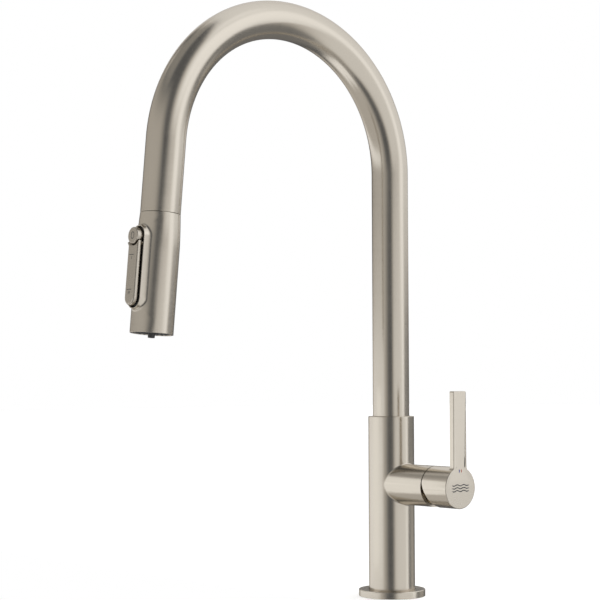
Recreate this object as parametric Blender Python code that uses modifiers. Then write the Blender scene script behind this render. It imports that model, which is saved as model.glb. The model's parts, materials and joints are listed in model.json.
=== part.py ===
"""Pull-down kitchen faucet with a side lever, as an assembly of separate parts.

Frame: metres, +Z up. The origin is the centre of the base on the deck, the spout
reaches towards -Y and the lever's axis points along +X.
"""
import bpy
import bmesh
from math import asin, cos, degrees, pi, radians, sin
from mathutils import Matrix, Vector

MM = 0.001
GAP = 0.3 * MM                     # between pieces that touch

# Column, fixed to the deck
FLANGE_R = 25.4 * MM
FLANGE_HEIGHT = 5.2 * MM
GASKET_HEIGHT = 1.3 * MM
COLUMN_R = 17.6 * MM
COLUMN_BORE_R = 15.2 * MM
COLUMN_TOP = 137.0 * MM
COLUMN_FOOT = 1.6 * MM
LEDGE_Z = 101.0 * MM               # inner ledge that carries the spout
LEDGE_THICKNESS = 3.0 * MM
LEDGE_BORE_R = 9.5 * MM
COLLAR_SEAT_Z = 124.0 * MM         # counterbore for the bush and the collar
COLLAR_SEAT_R = 16.2 * MM

# Water ways in the column
INLET_PLATE_TOP = 14.0 * MM
HOSE_BORE_R = 6.4 * MM
TAIL_R = 3.3 * MM
TAIL_BORE_R = 2.2 * MM
TAIL_PITCH_R = 10.8 * MM
TAIL_ANGLE = 52.0                  # degrees either side of the outlet tail
STUD_BORE_R = 2.5 * MM
STUD_ANGLE = 24.0                  # degrees either side of the back
MANIFOLD_R = 14.8 * MM
MANIFOLD_LOW = 69.0 * MM
MANIFOLD_HIGH = 100.4 * MM
PORT_R = 2.4 * MM
PORT_SIDE = 5.6 * MM               # hot and cold ports, either side of the middle
PORT_RISE = 2.0 * MM
OUTLET_DROP = 6.5 * MM

# Side arm with the valve, along +X
ARM_Z = 85.4 * MM
ARM_R = 15.4 * MM
ARM_BORE_R = 13.0 * MM
ARM_END = 47.6 * MM
SEAT_X = 20.0 * MM
CARTRIDGE_R = 12.4 * MM
CARTRIDGE_BORE_R = 10.9 * MM
CARTRIDGE_NECK_R = 8.6 * MM
PIVOT_X = 36.0 * MM                # the lever's tilt axis
DISC_TRAVEL = 2.0 * MM             # of the moving ceramic disc, over the full tilt
LEVER_TILT = 20.0                  # degrees
STEM_WIDTH = 7.0 * MM
STEM_HEIGHT = 6.0 * MM

# Lever
HUB_START = 48.5 * MM
HUB_FRONT = 74.05 * MM
RELIEF_DISTANCE = 12.93 * MM       # oblique cut of the hub, from the tilt axis
BLADE_THICKNESS = 4.05 * MM
BLADE_TOP = 156.5 * MM
BLADE_HALF_ROOT = 6.8 * MM
BLADE_HALF_TOP = 6.6 * MM
BLADE_FILLET = 3.0 * MM
MARK_WIDTH = 1.0 * MM
MARK_HEIGHT = 2.2 * MM
MARK_SIDE = 1.07 * MM
MARK_Z = 97.9 * MM
MARK_DEPTH = 0.6 * MM

# Spout: a riser, an arch and a leg that leans out
PIPE_R = 14.0 * MM
PIPE_WALL = 1.6 * MM
PIPE_FOOT = 112.0 * MM
ARCH_R = 106.2 * MM
ARCH_START_Z = 323.3 * MM
LEG_LEAN = 5.12                    # degrees from vertical
LEG_LENGTH = 52.7 * MM
SWING = 60.0                       # degrees either way
FOOT_R = 14.8 * MM
FOOT_LOW = 106.0 * MM
FOOT_CORE_R = 12.6 * MM
STOP_SCREW_R = 1.9 * MM
STOP_SCREW_Z = 108.8 * MM
HOSE_R = 5.75 * MM

# Spray head, measured down from the seam along the leg
HEAD_LENGTH = 83.4 * MM
HEAD_R = 15.06 * MM
HEAD_FLARE = 26.0 * MM
HEAD_WALL = 1.5 * MM
FACE_RECESS = 0.9 * MM
NOZZLE_R = 2.4 * MM
NOZZLE_TIP = 86.1 * MM

# Control panel on the head: distances down from the seam, and out from the axis
PANEL_TOP = 8.0 * MM
PANEL_BOTTOM = 68.6 * MM
PANEL_HALF = 8.7 * MM
PANEL_RIM = 17.2 * MM
WINDOW_TOP = 10.9 * MM
WINDOW_BOTTOM = 67.0 * MM
WINDOW_HALF = 6.9 * MM
CARRIER_LOW = 10.1 * MM
CARRIER_HIGH = 14.5 * MM
BUTTON_R = 5.75 * MM
BUTTON_DOWN = 17.9 * MM
BUTTON_FACE = 21.6 * MM
KEY_UNDERSIDE = 16.8 * MM
SELECTOR_HALF = 5.6 * MM
SELECTOR_BOTTOM = 65.8 * MM
SELECTOR_FACE = 20.9 * MM
SELECTOR_PIVOT_DOWN = 45.0 * MM
SELECTOR_PIVOT_OUT = 16.3 * MM
PLUNGER_ARM = 14.0 * MM
PLUNGER_R = 1.3 * MM

FINE = 32                          # facets round a large part
MEDIUM = 20
COARSE = 12
ARCH_STEPS = 28
MERGE = 0.00001

for old in list(bpy.data.objects):
    bpy.data.objects.remove(old)

parts = bpy.data.collections.new("pull_down_kitchen_faucet")
cutters = bpy.data.collections.new("cutters")
for group in (parts, cutters):
    bpy.context.scene.collection.children.link(group)


def finish(name, colour, roughness, metallic):
    """A plain Principled material."""
    made = bpy.data.materials.new(name)
    made.use_nodes = True
    shader = made.node_tree.nodes["Principled BSDF"]
    shader.inputs["Base Color"].default_value = (*colour, 1.0)
    shader.inputs["Roughness"].default_value = roughness
    shader.inputs["Metallic"].default_value = metallic
    return made


NICKEL = ("satin_nickel", (0.60, 0.56, 0.50), 0.32, 1.0)
BRASS = ("brass", (0.72, 0.55, 0.28), 0.35, 1.0)
STEEL = ("stainless_steel", (0.55, 0.55, 0.55), 0.30, 1.0)
BLACK = ("black_plastic", (0.03, 0.03, 0.03), 0.45, 0.0)
WHITE = ("white_plastic", (0.78, 0.78, 0.75), 0.40, 0.0)
RUBBER = ("rubber", (0.04, 0.04, 0.04), 0.80, 0.0)
CERAMIC = ("ceramic", (0.85, 0.82, 0.76), 0.20, 0.0)
MAGNET = ("magnet", (0.25, 0.25, 0.26), 0.40, 1.0)
HOSE = ("hose_braid", (0.35, 0.35, 0.36), 0.50, 0.0)
BLUE = ("cold_blue", (0.10, 0.16, 0.50), 0.40, 0.0)
RED = ("hot_red", (0.60, 0.08, 0.06), 0.40, 0.0)


def frame(name, location, rotation=(0, 0, 0), parent=None):
    """An empty that sub-parts are placed from."""
    empty = bpy.data.objects.new(name, None)
    empty.location = location
    empty.rotation_euler = rotation
    empty.parent = parent
    parts.objects.link(empty)
    return empty


def arch_point(angle):
    """A point of the arch's centre line, by the angle swept from the riser."""
    return Vector((0, ARCH_R * (cos(angle) - 1), ARCH_START_Z + ARCH_R * sin(angle)))


ARCH_SWEEP = pi - radians(LEG_LEAN)
LEG_DOWN = Vector((0, -sin(radians(LEG_LEAN)), -cos(radians(LEG_LEAN))))
ARCH_END = arch_point(ARCH_SWEEP)
SEAM = ARCH_END + LEG_DOWN * LEG_LENGTH

column_frame = frame("column_frame", (0, 0, 0))
arm_frame = frame("arm_frame", (0, 0, ARM_Z), (0, pi / 2, 0))
turn_frame = frame("lever_turn_axis", (0, 0, 0), parent=arm_frame)
tilt_frame = frame("lever_tilt_axis", (0, 0, PIVOT_X), parent=turn_frame)
spout_frame = frame("spout_swivel_axis", (0, 0, 0))
dock_frame = frame("docking_frame", SEAM, (-radians(LEG_LEAN), 0, 0), parent=spout_frame)
head_frame = frame("spray_head_axis", (0, 0, 0), parent=dock_frame)
panel_frame = frame("panel_frame", (0, 0, 0), (pi / 2, 0, 0), parent=head_frame)


def add(name, data, place, look=None, at=(0, 0, 0), turn=(0, 0, 0)):
    """Puts an object under a frame: a part if it has a look, otherwise a cutter."""
    made = bpy.data.objects.new(name, data)
    made.parent = place
    made.location = at
    made.rotation_euler = turn
    if look:
        parts.objects.link(made)
        data.materials.append(finish(f"{name}_{look[0]}", *look[1:]))
    else:
        cutters.objects.link(made)
        made.hide_render = True
        made.display_type = "WIRE"
    return made


def rod(name, radius, low, high, place, look=None, steps=MEDIUM, at=(0, 0, 0), turn=(0, 0, 0)):
    """A cylinder along its frame's Z, from low to high."""
    mesh = bpy.data.meshes.new(name)
    shape = bmesh.new()
    middle = Matrix.Translation((0, 0, (low + high) / 2))
    bmesh.ops.create_cone(shape, cap_ends=True, segments=steps, radius1=radius,
                          radius2=radius, depth=high - low, matrix=middle)
    shape.to_mesh(mesh)
    shape.free()
    return add(name, mesh, place, look, at, turn)


def block(name, low, high, place, look=None, at=(0, 0, 0), turn=(0, 0, 0)):
    """A box between two corners."""
    mesh = bpy.data.meshes.new(name)
    shape = bmesh.new()
    size = Vector(high) - Vector(low)
    centre = (Vector(high) + Vector(low)) / 2
    stretch = Matrix.Translation(centre) @ Matrix.Diagonal((*size, 1))
    bmesh.ops.create_cube(shape, size=1, matrix=stretch)
    shape.to_mesh(mesh)
    shape.free()
    return add(name, mesh, place, look, at, turn)


def turned(name, profile, place, look=None, steps=MEDIUM, at=(0, 0, 0), turn=(0, 0, 0)):
    """A solid of revolution. The (radius, height) profile runs down its outer side."""
    mesh = bpy.data.meshes.new(name)
    points = [(radius, 0, height) for radius, height in profile]
    edges = [(i, i + 1) for i in range(len(points) - 1)]
    if profile[0][0] > 0:
        edges.append((len(points) - 1, 0))
    mesh.from_pydata(points, edges, [])
    made = add(name, mesh, place, look, at, turn)
    screw = made.modifiers.new("revolve", "SCREW")
    screw.steps = steps
    screw.render_steps = steps
    screw.use_merge_vertices = True
    screw.merge_threshold = MERGE
    screw.use_smooth_shade = True
    return made


def ring(name, outer, inner, low, high, place, look=None, steps=MEDIUM, chamfer=0.0, **where):
    """A turned ring, with its outer edges chamfered if asked."""
    profile = [(outer, high), (outer, low), (inner, low), (inner, high)]
    if chamfer:
        profile = [(outer - chamfer, high), (outer, high - chamfer), (outer, low + chamfer),
                   (outer - chamfer, low), (inner, low), (inner, high)]
    return turned(name, profile, place, look, steps, **where)


def as_mesh(curve_object):
    """Replaces a curve object by its welded mesh."""
    scene_graph = bpy.context.evaluated_depsgraph_get()
    mesh = bpy.data.meshes.new_from_object(curve_object.evaluated_get(scene_graph))
    shape = bmesh.new()
    shape.from_mesh(mesh)
    bmesh.ops.remove_doubles(shape, verts=shape.verts, dist=MERGE)
    shape.to_mesh(mesh)
    shape.free()
    made = bpy.data.objects.new(curve_object.name + "_mesh", mesh)
    made.parent = curve_object.parent
    made.matrix_basis = curve_object.matrix_basis.copy()
    made.hide_render = curve_object.hide_render
    made.display_type = curve_object.display_type
    curve_object.users_collection[0].objects.link(made)
    name = curve_object.name
    bpy.data.objects.remove(curve_object)
    made.name = name
    return made


def plate(name, outline, low, high, place, look=None, at=(0, 0, 0), turn=(0, 0, 0)):
    """A flat outline in the frame's XY plane, extruded from low to high."""
    curve = bpy.data.curves.new(name, "CURVE")
    curve.dimensions = "2D"
    curve.fill_mode = "BOTH"
    curve.extrude = (high - low) / 2
    spline = curve.splines.new("POLY")
    spline.points.add(len(outline) - 1)
    for point, (x, y) in zip(spline.points, outline):
        point.co = (x, y, 0, 1)
    spline.use_cyclic_u = True
    lift = Vector(at) + Matrix.Rotation(turn[0], 3, "X") @ Vector((0, 0, (low + high) / 2))
    return as_mesh(add(name, curve, place, look, lift, turn))


def tube(name, route, radius, resolution, place, look=None, caps=True):
    """A round tube or wire along a list of points."""
    curve = bpy.data.curves.new(name, "CURVE")
    curve.dimensions = "3D"
    curve.bevel_depth = radius
    curve.bevel_resolution = resolution
    curve.use_fill_caps = caps
    spline = curve.splines.new("POLY")
    spline.points.add(len(route) - 1)
    for point, place_on_route in zip(spline.points, route):
        point.co = (*place_on_route, 1)
    return as_mesh(add(name, curve, place, look))


def combine(target, tool, operation="DIFFERENCE"):
    """Cuts the target with the tool, or joins the tool to it."""
    boolean = target.modifiers.new(tool.name, "BOOLEAN")
    boolean.object = tool
    boolean.operation = operation
    boolean.solver = "EXACT"


def arc(centre, radius, start, end, steps):
    """Points of a circular arc; angles in degrees."""
    angles = [radians(start + (end - start) * i / steps) for i in range(steps + 1)]
    return [(centre[0] + radius * cos(a), centre[1] + radius * sin(a)) for a in angles]


def stadium(half, top, bottom, steps=10):
    """A slot outline with round ends, along the panel's Y."""
    upper = arc((0, -top - half), half, 0, 180, steps)
    lower = arc((0, -bottom + half), half, 180, 360, steps)
    return upper + lower


def around(radius, angle):
    """A point of the column's plan, by radius and angle in degrees from +X."""
    return (radius * cos(radians(angle)), radius * sin(radians(angle)))


def make_base():
    """Deck flange and its gasket."""
    seat_r = 21.8 * MM
    clear_r = COLUMN_R + GAP
    edge = 0.5 * MM
    step = GASKET_HEIGHT + GAP
    flange = [(FLANGE_R - edge, FLANGE_HEIGHT), (FLANGE_R, FLANGE_HEIGHT - edge), (FLANGE_R, 0),
              (seat_r, 0), (seat_r, step), (clear_r, step), (clear_r, FLANGE_HEIGHT)]
    turned("base_flange", flange, column_frame, NICKEL, FINE)
    ring("base_gasket", seat_r - GAP, COLUMN_BORE_R, 0, GASKET_HEIGHT, column_frame, RUBBER)


def make_column():
    """The column: a turned tube with a ledge for the spout and a hole for the arm."""
    ledge_top = LEDGE_Z + LEDGE_THICKNESS
    edge = 0.4 * MM
    profile = [(COLUMN_R - edge, COLUMN_TOP), (COLUMN_R, COLUMN_TOP - edge),
               (COLUMN_R, COLUMN_FOOT), (COLUMN_BORE_R, COLUMN_FOOT), (COLUMN_BORE_R, LEDGE_Z),
               (LEDGE_BORE_R, LEDGE_Z), (LEDGE_BORE_R, ledge_top), (COLUMN_BORE_R, ledge_top),
               (COLUMN_BORE_R, COLLAR_SEAT_Z), (COLLAR_SEAT_R, COLLAR_SEAT_Z),
               (COLLAR_SEAT_R, COLUMN_TOP)]
    column = turned("mixer_body", profile, column_frame, NICKEL, FINE)
    combine(column, rod("arm_hole", ARM_BORE_R + GAP, 0, 2 * COLUMN_R, arm_frame, steps=FINE))
    hole = rod("stop_screw_hole", STOP_SCREW_R + GAP, 0, 2 * COLUMN_R, column_frame, None,
               COARSE, (0, 0, STOP_SCREW_Z), (-pi / 2, 0, 0))
    combine(column, hole)
    rod("swing_stop_screw", STOP_SCREW_R, FOOT_CORE_R + 2 * GAP, COLUMN_R - GAP, column_frame,
        STEEL, COARSE, (0, 0, STOP_SCREW_Z), (-pi / 2, 0, 0))


def tail_angles():
    """The three water tails and where each stands."""
    return {"hot_inlet_tail": TAIL_ANGLE, "outlet_tail": 0.0, "cold_inlet_tail": -TAIL_ANGLE}


def make_inlets():
    """Inlet plate at the foot, with its three tails, the hose hole and two stud sockets."""
    low = COLUMN_FOOT + GAP
    inlet_plate = rod("inlet_plate", MANIFOLD_R, low, INLET_PLATE_TOP, column_frame, BRASS, FINE)
    combine(inlet_plate, rod("plate_hose_hole", HOSE_BORE_R, 0, 2 * INLET_PLATE_TOP, column_frame))
    tail_top = MANIFOLD_LOW + 6 * MM
    for name, angle in tail_angles().items():
        x, y = around(TAIL_PITCH_R, angle)
        hole = rod(f"{name}_hole", TAIL_R + GAP, 0, 2 * INLET_PLATE_TOP, column_frame, None,
                   COARSE, (x, y, 0))
        combine(inlet_plate, hole)
        ring(name, TAIL_R, TAIL_BORE_R, low, tail_top, column_frame, BRASS, COARSE, at=(x, y, 0))
    for side in (-1, 1):
        x, y = around(TAIL_PITCH_R - 0.3 * MM, 180 + side * STUD_ANGLE)
        socket = rod(f"stud_socket_{side}", STUD_BORE_R, 0, 10 * MM, column_frame, None, COARSE,
                     (x, y, 0))
        combine(inlet_plate, socket)


def make_manifold():
    """Valve manifold: joins the tails to the cartridge's seat and lets the hose through."""
    manifold = rod("valve_manifold", MANIFOLD_R, MANIFOLD_LOW, MANIFOLD_HIGH, column_frame, BRASS,
                   FINE)
    stub = rod("manifold_stub", ARM_BORE_R - GAP, 5 * MM, SEAT_X, arm_frame, steps=MEDIUM)
    combine(manifold, stub, "UNION")
    hose_hole = rod("manifold_hose_hole", HOSE_BORE_R, 0, LEDGE_Z + GAP, column_frame)
    combine(manifold, hose_hole)
    ports = {"hot_inlet_tail": (-PORT_RISE, PORT_SIDE), "outlet_tail": (OUTLET_DROP, 0),
             "cold_inlet_tail": (-PORT_RISE, -PORT_SIDE)}
    for name, angle in tail_angles().items():
        x, y = around(TAIL_PITCH_R, angle)
        down, side = ports[name]
        socket = rod(f"{name}_socket", TAIL_R + GAP, 0, MANIFOLD_LOW + 7 * MM, column_frame, None,
                     COARSE, (x, y, 0))
        way_up = rod(f"{name}_way_up", PORT_R, 0, ARM_Z - down, column_frame, None, COARSE,
                     (x, y, 0))
        port = rod(f"{name}_port", PORT_R, 8 * MM, 2 * SEAT_X, arm_frame, None, COARSE,
                   (down, side, 0))
        for cutter in (socket, way_up, port):
            combine(manifold, cutter)


def cut_ports(target, name):
    """Three water ports through a piece of the cartridge."""
    places = ((-PORT_RISE, PORT_SIDE), (OUTLET_DROP, 0), (-PORT_RISE, -PORT_SIDE))
    for count, (down, side) in enumerate(places):
        port = rod(f"{name}_port_{count}", PORT_R, 0, PIVOT_X, arm_frame, None, COARSE,
                   (down, side, 0))
        combine(target, port)


def make_valve():
    """Arm housing and the fixed pieces of the cartridge in it, from the seat outwards."""
    housing = rod("valve_housing", ARM_R, 6 * MM, ARM_END, arm_frame, NICKEL, FINE)
    combine(housing, rod("saddle", COLUMN_R + 0.2 * MM, 0, COLUMN_TOP, column_frame, steps=FINE))
    combine(housing, rod("arm_bore", ARM_BORE_R, 0, 2 * ARM_END, arm_frame, steps=FINE))

    seal_top = SEAT_X + 1.3 * MM
    base_top = seal_top + 2.7 * MM
    disc_top = base_top + 2.8 * MM
    body_top = 38.5 * MM
    lip = 1.6 * MM
    seal = rod("cartridge_seal", 11.2 * MM, SEAT_X + GAP, seal_top, arm_frame, RUBBER)
    base = rod("cartridge_base", CARTRIDGE_R, seal_top + GAP, base_top, arm_frame, WHITE)
    disc = rod("fixed_ceramic_disc", 10.5 * MM, base_top + GAP, disc_top, arm_frame, CERAMIC)
    for piece in (seal, base, disc):
        cut_ports(piece, piece.name)

    body = [(CARTRIDGE_R, body_top), (CARTRIDGE_R, base_top + GAP),
            (CARTRIDGE_BORE_R, base_top + GAP), (CARTRIDGE_BORE_R, body_top - lip),
            (CARTRIDGE_NECK_R, body_top - lip), (CARTRIDGE_NECK_R, body_top)]
    turned("cartridge_body", body, arm_frame, WHITE)
    nut_top = body_top + 6 * MM
    nut = ring("cartridge_nut", ARM_BORE_R - GAP, 9.2 * MM, body_top + GAP, nut_top, arm_frame,
               BRASS)
    notch = 1.5 * MM
    for count, turn in enumerate((0, pi / 2)):
        slot = block(f"nut_slot_{count}", (-notch, -ARM_R, nut_top - 2 * notch),
                     (notch, ARM_R, nut_top + notch), arm_frame, turn=(0, 0, turn))
        combine(nut, slot)
    return disc_top


def make_mixing(disc_top):
    """Pieces that turn with the lever: the stem's carrier, its pin and the moving disc."""
    carrier_low = 32.2 * MM
    shoulder = 36.5 * MM
    neck_r = CARTRIDGE_NECK_R - GAP
    pin_r = 1.2 * MM
    carrier = turned("stem_carrier", [(0, 42 * MM), (neck_r, 42 * MM), (neck_r, shoulder),
                                      (10.4 * MM, shoulder), (10.4 * MM, carrier_low),
                                      (0, carrier_low)], turn_frame, WHITE)
    half_slot = 5.6 * MM
    half_width = STEM_WIDTH / 2 + GAP
    slot = block("carrier_slot", (-half_slot, -half_width, 0), (half_slot, half_width, ARM_END),
                 turn_frame)
    combine(carrier, slot)
    pin_hole = rod("carrier_pin_hole", pin_r + GAP, -ARM_R, ARM_R, turn_frame, None, COARSE,
                   (0, 0, PIVOT_X), (pi / 2, 0, 0))
    combine(carrier, pin_hole)
    rod("stem_pivot_pin", pin_r, -neck_r, neck_r, turn_frame, STEEL, COARSE,
        (0, 0, PIVOT_X), (pi / 2, 0, 0))

    low = disc_top + GAP
    high = 30.4 * MM
    offset = DISC_TRAVEL / 2
    disc = rod("moving_ceramic_disc", 7.6 * MM, low, high, turn_frame, CERAMIC, MEDIUM,
               (offset, 0, 0))
    recess = rod("mixing_recess", 4.6 * MM, low - MM, low + 0.8 * MM, turn_frame, None, MEDIUM,
                 (offset, 0, 0))
    pocket = rod("drive_pocket", 2.1 * MM, 28.3 * MM, high + MM, turn_frame, None, COARSE)
    combine(disc, recess)
    combine(disc, pocket)


def make_stem():
    """The lever's square stem, with a ball that pushes the moving disc."""
    ball_z = 30.1 * MM
    bar_low = 32.6 * MM
    half = Vector((STEM_HEIGHT / 2, STEM_WIDTH / 2, 0))
    at = (0, 0, -PIVOT_X)
    stem = block("lever_stem", (-half.x, -half.y, bar_low), (half.x, half.y, 66.4 * MM),
                 tilt_frame, STEEL, at)
    ball_r = 1.6 * MM
    neck_r = 1.1 * MM
    start = asin(neck_r / ball_r)
    turns = 6
    angles = [start + (pi - start) * i / turns for i in range(turns)]
    ball = [(ball_r * sin(a), ball_z + ball_r * cos(a)) for a in angles]
    profile = [(0, bar_low + MM), (neck_r, bar_low + MM)] + ball + [(0, ball_z - ball_r)]
    combine(stem, turned("stem_ball", profile, tilt_frame, None, COARSE, at), "UNION")
    hole = rod("stem_pin_hole", 1.5 * MM, -ARM_R, ARM_R, tilt_frame, None, COARSE,
               turn=(pi / 2, 0, 0))
    combine(stem, hole)


def blade_outline():
    """Half-open outline of the lever's blade: it widens with a fillet where it meets the disc."""
    top = -(BLADE_TOP - ARM_Z)
    reach = ARM_R + BLADE_FILLET
    side = BLADE_HALF_ROOT + BLADE_FILLET
    centre_x = -((reach * reach - side * side) ** 0.5)
    meet = degrees(asin(side / reach))
    buried = 4 * MM
    right = arc((centre_x, side), BLADE_FILLET, -90, -meet, 5)
    half = [(top, BLADE_HALF_TOP)] + right + [(centre_x + buried, side - 2 * BLADE_FILLET)]
    return half + [(x, -y) for x, y in reversed(half)]


def make_lever():
    """Lever handle: a hub with a flat front that grows into a straight blade."""
    at = (0, 0, -PIVOT_X)
    shell_r = 12.6 * MM
    shell_depth = 60 * MM
    boss_r = 6.8 * MM
    boss_low = 53 * MM
    profile = [(0, HUB_FRONT), (ARM_R, HUB_FRONT), (ARM_R, HUB_START), (shell_r, HUB_START),
               (shell_r, shell_depth), (boss_r, shell_depth), (boss_r, boss_low), (0, boss_low)]
    handle = turned("lever_handle", profile, tilt_frame, NICKEL, FINE, at)
    blade = plate("blade", blade_outline(), HUB_FRONT - BLADE_THICKNESS, HUB_FRONT, tilt_frame,
                  at=at)
    combine(handle, blade, "UNION")
    relief = block("hub_relief", (-2 * ARM_R, -2 * ARM_R, -ARM_R),
                   (2 * ARM_R, 2 * ARM_R, RELIEF_DISTANCE), tilt_frame,
                   turn=(0, -radians(LEVER_TILT), 0))
    combine(handle, relief)
    half_x = STEM_HEIGHT / 2 + GAP
    half_y = STEM_WIDTH / 2 + GAP
    socket = block("stem_socket", (-half_x, -half_y, 50 * MM), (half_x, half_y, 66.8 * MM),
                   tilt_frame, at=at)
    combine(handle, socket)
    screw_r = 2.2 * MM
    screw_at = (0, 0, 63.5 * MM - PIVOT_X)
    screw_turn = (0, pi / 2, 0)
    combine(handle, rod("set_screw_hole", screw_r + GAP, 0, 2 * ARM_R, tilt_frame, None, COARSE,
                        screw_at, screw_turn))
    screw = rod("lever_set_screw", screw_r, STEM_HEIGHT / 2 + 2 * GAP, 9.6 * MM, tilt_frame,
                STEEL, COARSE, screw_at, screw_turn)
    combine(screw, rod("set_screw_hex", 1.3 * MM, 7 * MM, ARM_R, tilt_frame, None, 6, screw_at,
                       screw_turn))

    for name, side, look in (("cold_mark", -MARK_SIDE, BLUE), ("hot_mark", MARK_SIDE, RED)):
        middle = Vector((ARM_Z - MARK_Z, side, HUB_FRONT - PIVOT_X))
        half = Vector((MARK_HEIGHT / 2, MARK_WIDTH / 2, MARK_DEPTH))
        wall = Vector((0.1 * MM, 0.1 * MM, 0.1 * MM))
        pocket = block(f"{name}_pocket", middle - half - wall, middle + half + wall, tilt_frame)
        combine(handle, pocket)
        block(name, middle - half, middle + Vector((half.x, half.y, 0)), tilt_frame, look)


def make_spout():
    """The gooseneck pipe with its foot, bearings and the hose inside it."""
    riser = [Vector((0, 0, PIPE_FOOT))]
    arch = [arch_point(ARCH_SWEEP * i / ARCH_STEPS) for i in range(ARCH_STEPS + 1)]
    pipe = tube("spout_tube", riser + arch + [SEAM], PIPE_R, 10, spout_frame, NICKEL, caps=False)
    wall = pipe.modifiers.new("wall", "SOLIDIFY")
    wall.thickness = PIPE_WALL
    wall.offset = -1

    spigot_r = PIPE_R - PIPE_WALL - GAP
    shoulder = PIPE_FOOT - GAP
    foot = turned("spout_foot", [(spigot_r, 122 * MM), (spigot_r, shoulder), (FOOT_R, shoulder),
                                 (FOOT_R, FOOT_LOW), (9 * MM, FOOT_LOW), (9 * MM, 122 * MM)],
                  spout_frame, BRASS)
    half_slot = SWING + degrees(asin(STOP_SCREW_R / FOOT_CORE_R)) + 1.5
    slot = (arc((0, 0), FOOT_CORE_R, 90 - half_slot, 90 + half_slot, 14)
            + arc((0, 0), 2 * FOOT_R, 90 + half_slot, 90 - half_slot, 14))
    combine(foot, plate("swing_slot", slot, FOOT_LOW - MM, shoulder + GAP / 2, spout_frame))

    ledge_top = LEDGE_Z + LEDGE_THICKNESS
    bush_top = COLLAR_SEAT_Z + 3.7 * MM
    bush_r = COLLAR_SEAT_R - GAP
    ring("thrust_washer", FOOT_R, 9.6 * MM, ledge_top + GAP, FOOT_LOW - GAP, column_frame, WHITE)
    ring("upper_bush", bush_r, PIPE_R + GAP, COLLAR_SEAT_Z + GAP, bush_top, column_frame, WHITE,
         FINE)
    ring("swivel_collar", bush_r, PIPE_R + GAP, bush_top + GAP, COLUMN_TOP - 0.2 * MM,
         column_frame, NICKEL, FINE)

    hose_start = Vector((0, 0, COLUMN_FOOT + 2 * GAP))
    hose_end = SEAM + LEG_DOWN * 3.5 * MM
    rise = [hose_start.lerp(arch[0], i / 8) for i in range(8)]
    tube("spray_hose", rise + arch + [ARCH_END.lerp(hose_end, 0.5), hose_end], HOSE_R, 2,
         spout_frame, HOSE)


def make_dock():
    """Socket and magnet in the spout's mouth, which hold the spray head."""
    outer = PIPE_R - PIPE_WALL - GAP
    low = 0.6 * MM
    high = 14 * MM
    groove_top = 5.6 * MM
    groove = (8.7 * MM, 11.3 * MM)
    bore = 7.3 * MM
    turned("docking_socket", [(outer, high), (outer, low), (groove[1], low),
                              (groove[1], groove_top), (groove[0], groove_top), (groove[0], low),
                              (bore, low), (bore, high)], dock_frame, BLACK)
    ring("docking_magnet", groove[1] - GAP, groove[0] + GAP, low + GAP, groove_top - GAP,
         dock_frame, MAGNET)


def head_radius(down):
    """Outer radius of the spray head, which flares softly from the pipe's size."""
    part = min(down / HEAD_FLARE, 1)
    return PIPE_R + (HEAD_R - PIPE_R) * sin(part * pi / 2)


def make_head_shell():
    """Outer shell of the spray head, with the raised rim round its control panel."""
    stations = [GAP] + [HEAD_FLARE * i / 5 for i in range(1, 6)] + [HEAD_LENGTH]
    outer = [(head_radius(down), -down) for down in stations]
    inner = [(radius - HEAD_WALL, height) for radius, height in reversed(outer)]
    shell = turned("head_shell", outer + inner, head_frame, NICKEL, FINE)
    rim = plate("panel_rim", stadium(PANEL_HALF, PANEL_TOP, PANEL_BOTTOM), 8 * MM, PANEL_RIM,
                panel_frame)
    inside = [(radius - HEAD_WALL / 2, height) for radius, height in outer]
    core = turned("rim_core", [(0, 0)] + inside + [(0, -HEAD_LENGTH)], head_frame, None, FINE)
    combine(rim, core)
    combine(shell, rim, "UNION")
    window = plate("panel_window", stadium(WINDOW_HALF, WINDOW_TOP, WINDOW_BOTTOM), 5 * MM,
                   2 * PANEL_RIM, panel_frame)
    combine(shell, window)


def make_head_inlet():
    """What joins the hose to the head."""
    ring("docking_plate", 12 * MM, 7.3 * MM, -4 * MM, -1.2 * MM, head_frame, STEEL)
    ring("hose_ferrule", 6.9 * MM, HOSE_R + GAP, -4.2 * MM, 9 * MM, head_frame, STEEL)
    nut = rod("hose_nut", 9.4 * MM, -14 * MM, -4.6 * MM, head_frame, BRASS, 6)
    combine(nut, rod("hose_nut_bore", 6.2 * MM, -20 * MM, 0, head_frame))
    ring("inlet_washer", 5.8 * MM, 3.4 * MM, -8.7 * MM, -7.5 * MM, head_frame, RUBBER)
    ring("check_valve", 4 * MM, 1.5 * MM, -20 * MM, -9.4 * MM, head_frame, WHITE, COARSE)


def make_diverter():
    """Diverter body inside the head, flat towards the control panel."""
    low = -73 * MM
    top = -15 * MM
    stub_r = 5.9 * MM
    body_r = 12.6 * MM
    bore_r = 4.3 * MM
    flat = 9.8 * MM
    body = turned("diverter_body", [(stub_r, -9 * MM), (stub_r, top), (body_r, top),
                                    (body_r, low), (bore_r, low), (bore_r, -9 * MM)],
                  head_frame, BLACK)
    combine(body, block("diverter_flat", (-HEAD_R, -2 * HEAD_R, 2 * low), (HEAD_R, -flat, 0),
                        head_frame))
    for name, down, radius in (("pause_bore", BUTTON_DOWN, 2.4 * MM),
                               ("stream_bore", SELECTOR_PIVOT_DOWN - PLUNGER_ARM, 1.6 * MM),
                               ("spray_bore", SELECTOR_PIVOT_DOWN + PLUNGER_ARM, 1.6 * MM)):
        combine(body, rod(name, radius, 0, HEAD_R, panel_frame, None, COARSE, (0, -down, 0)))


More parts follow.
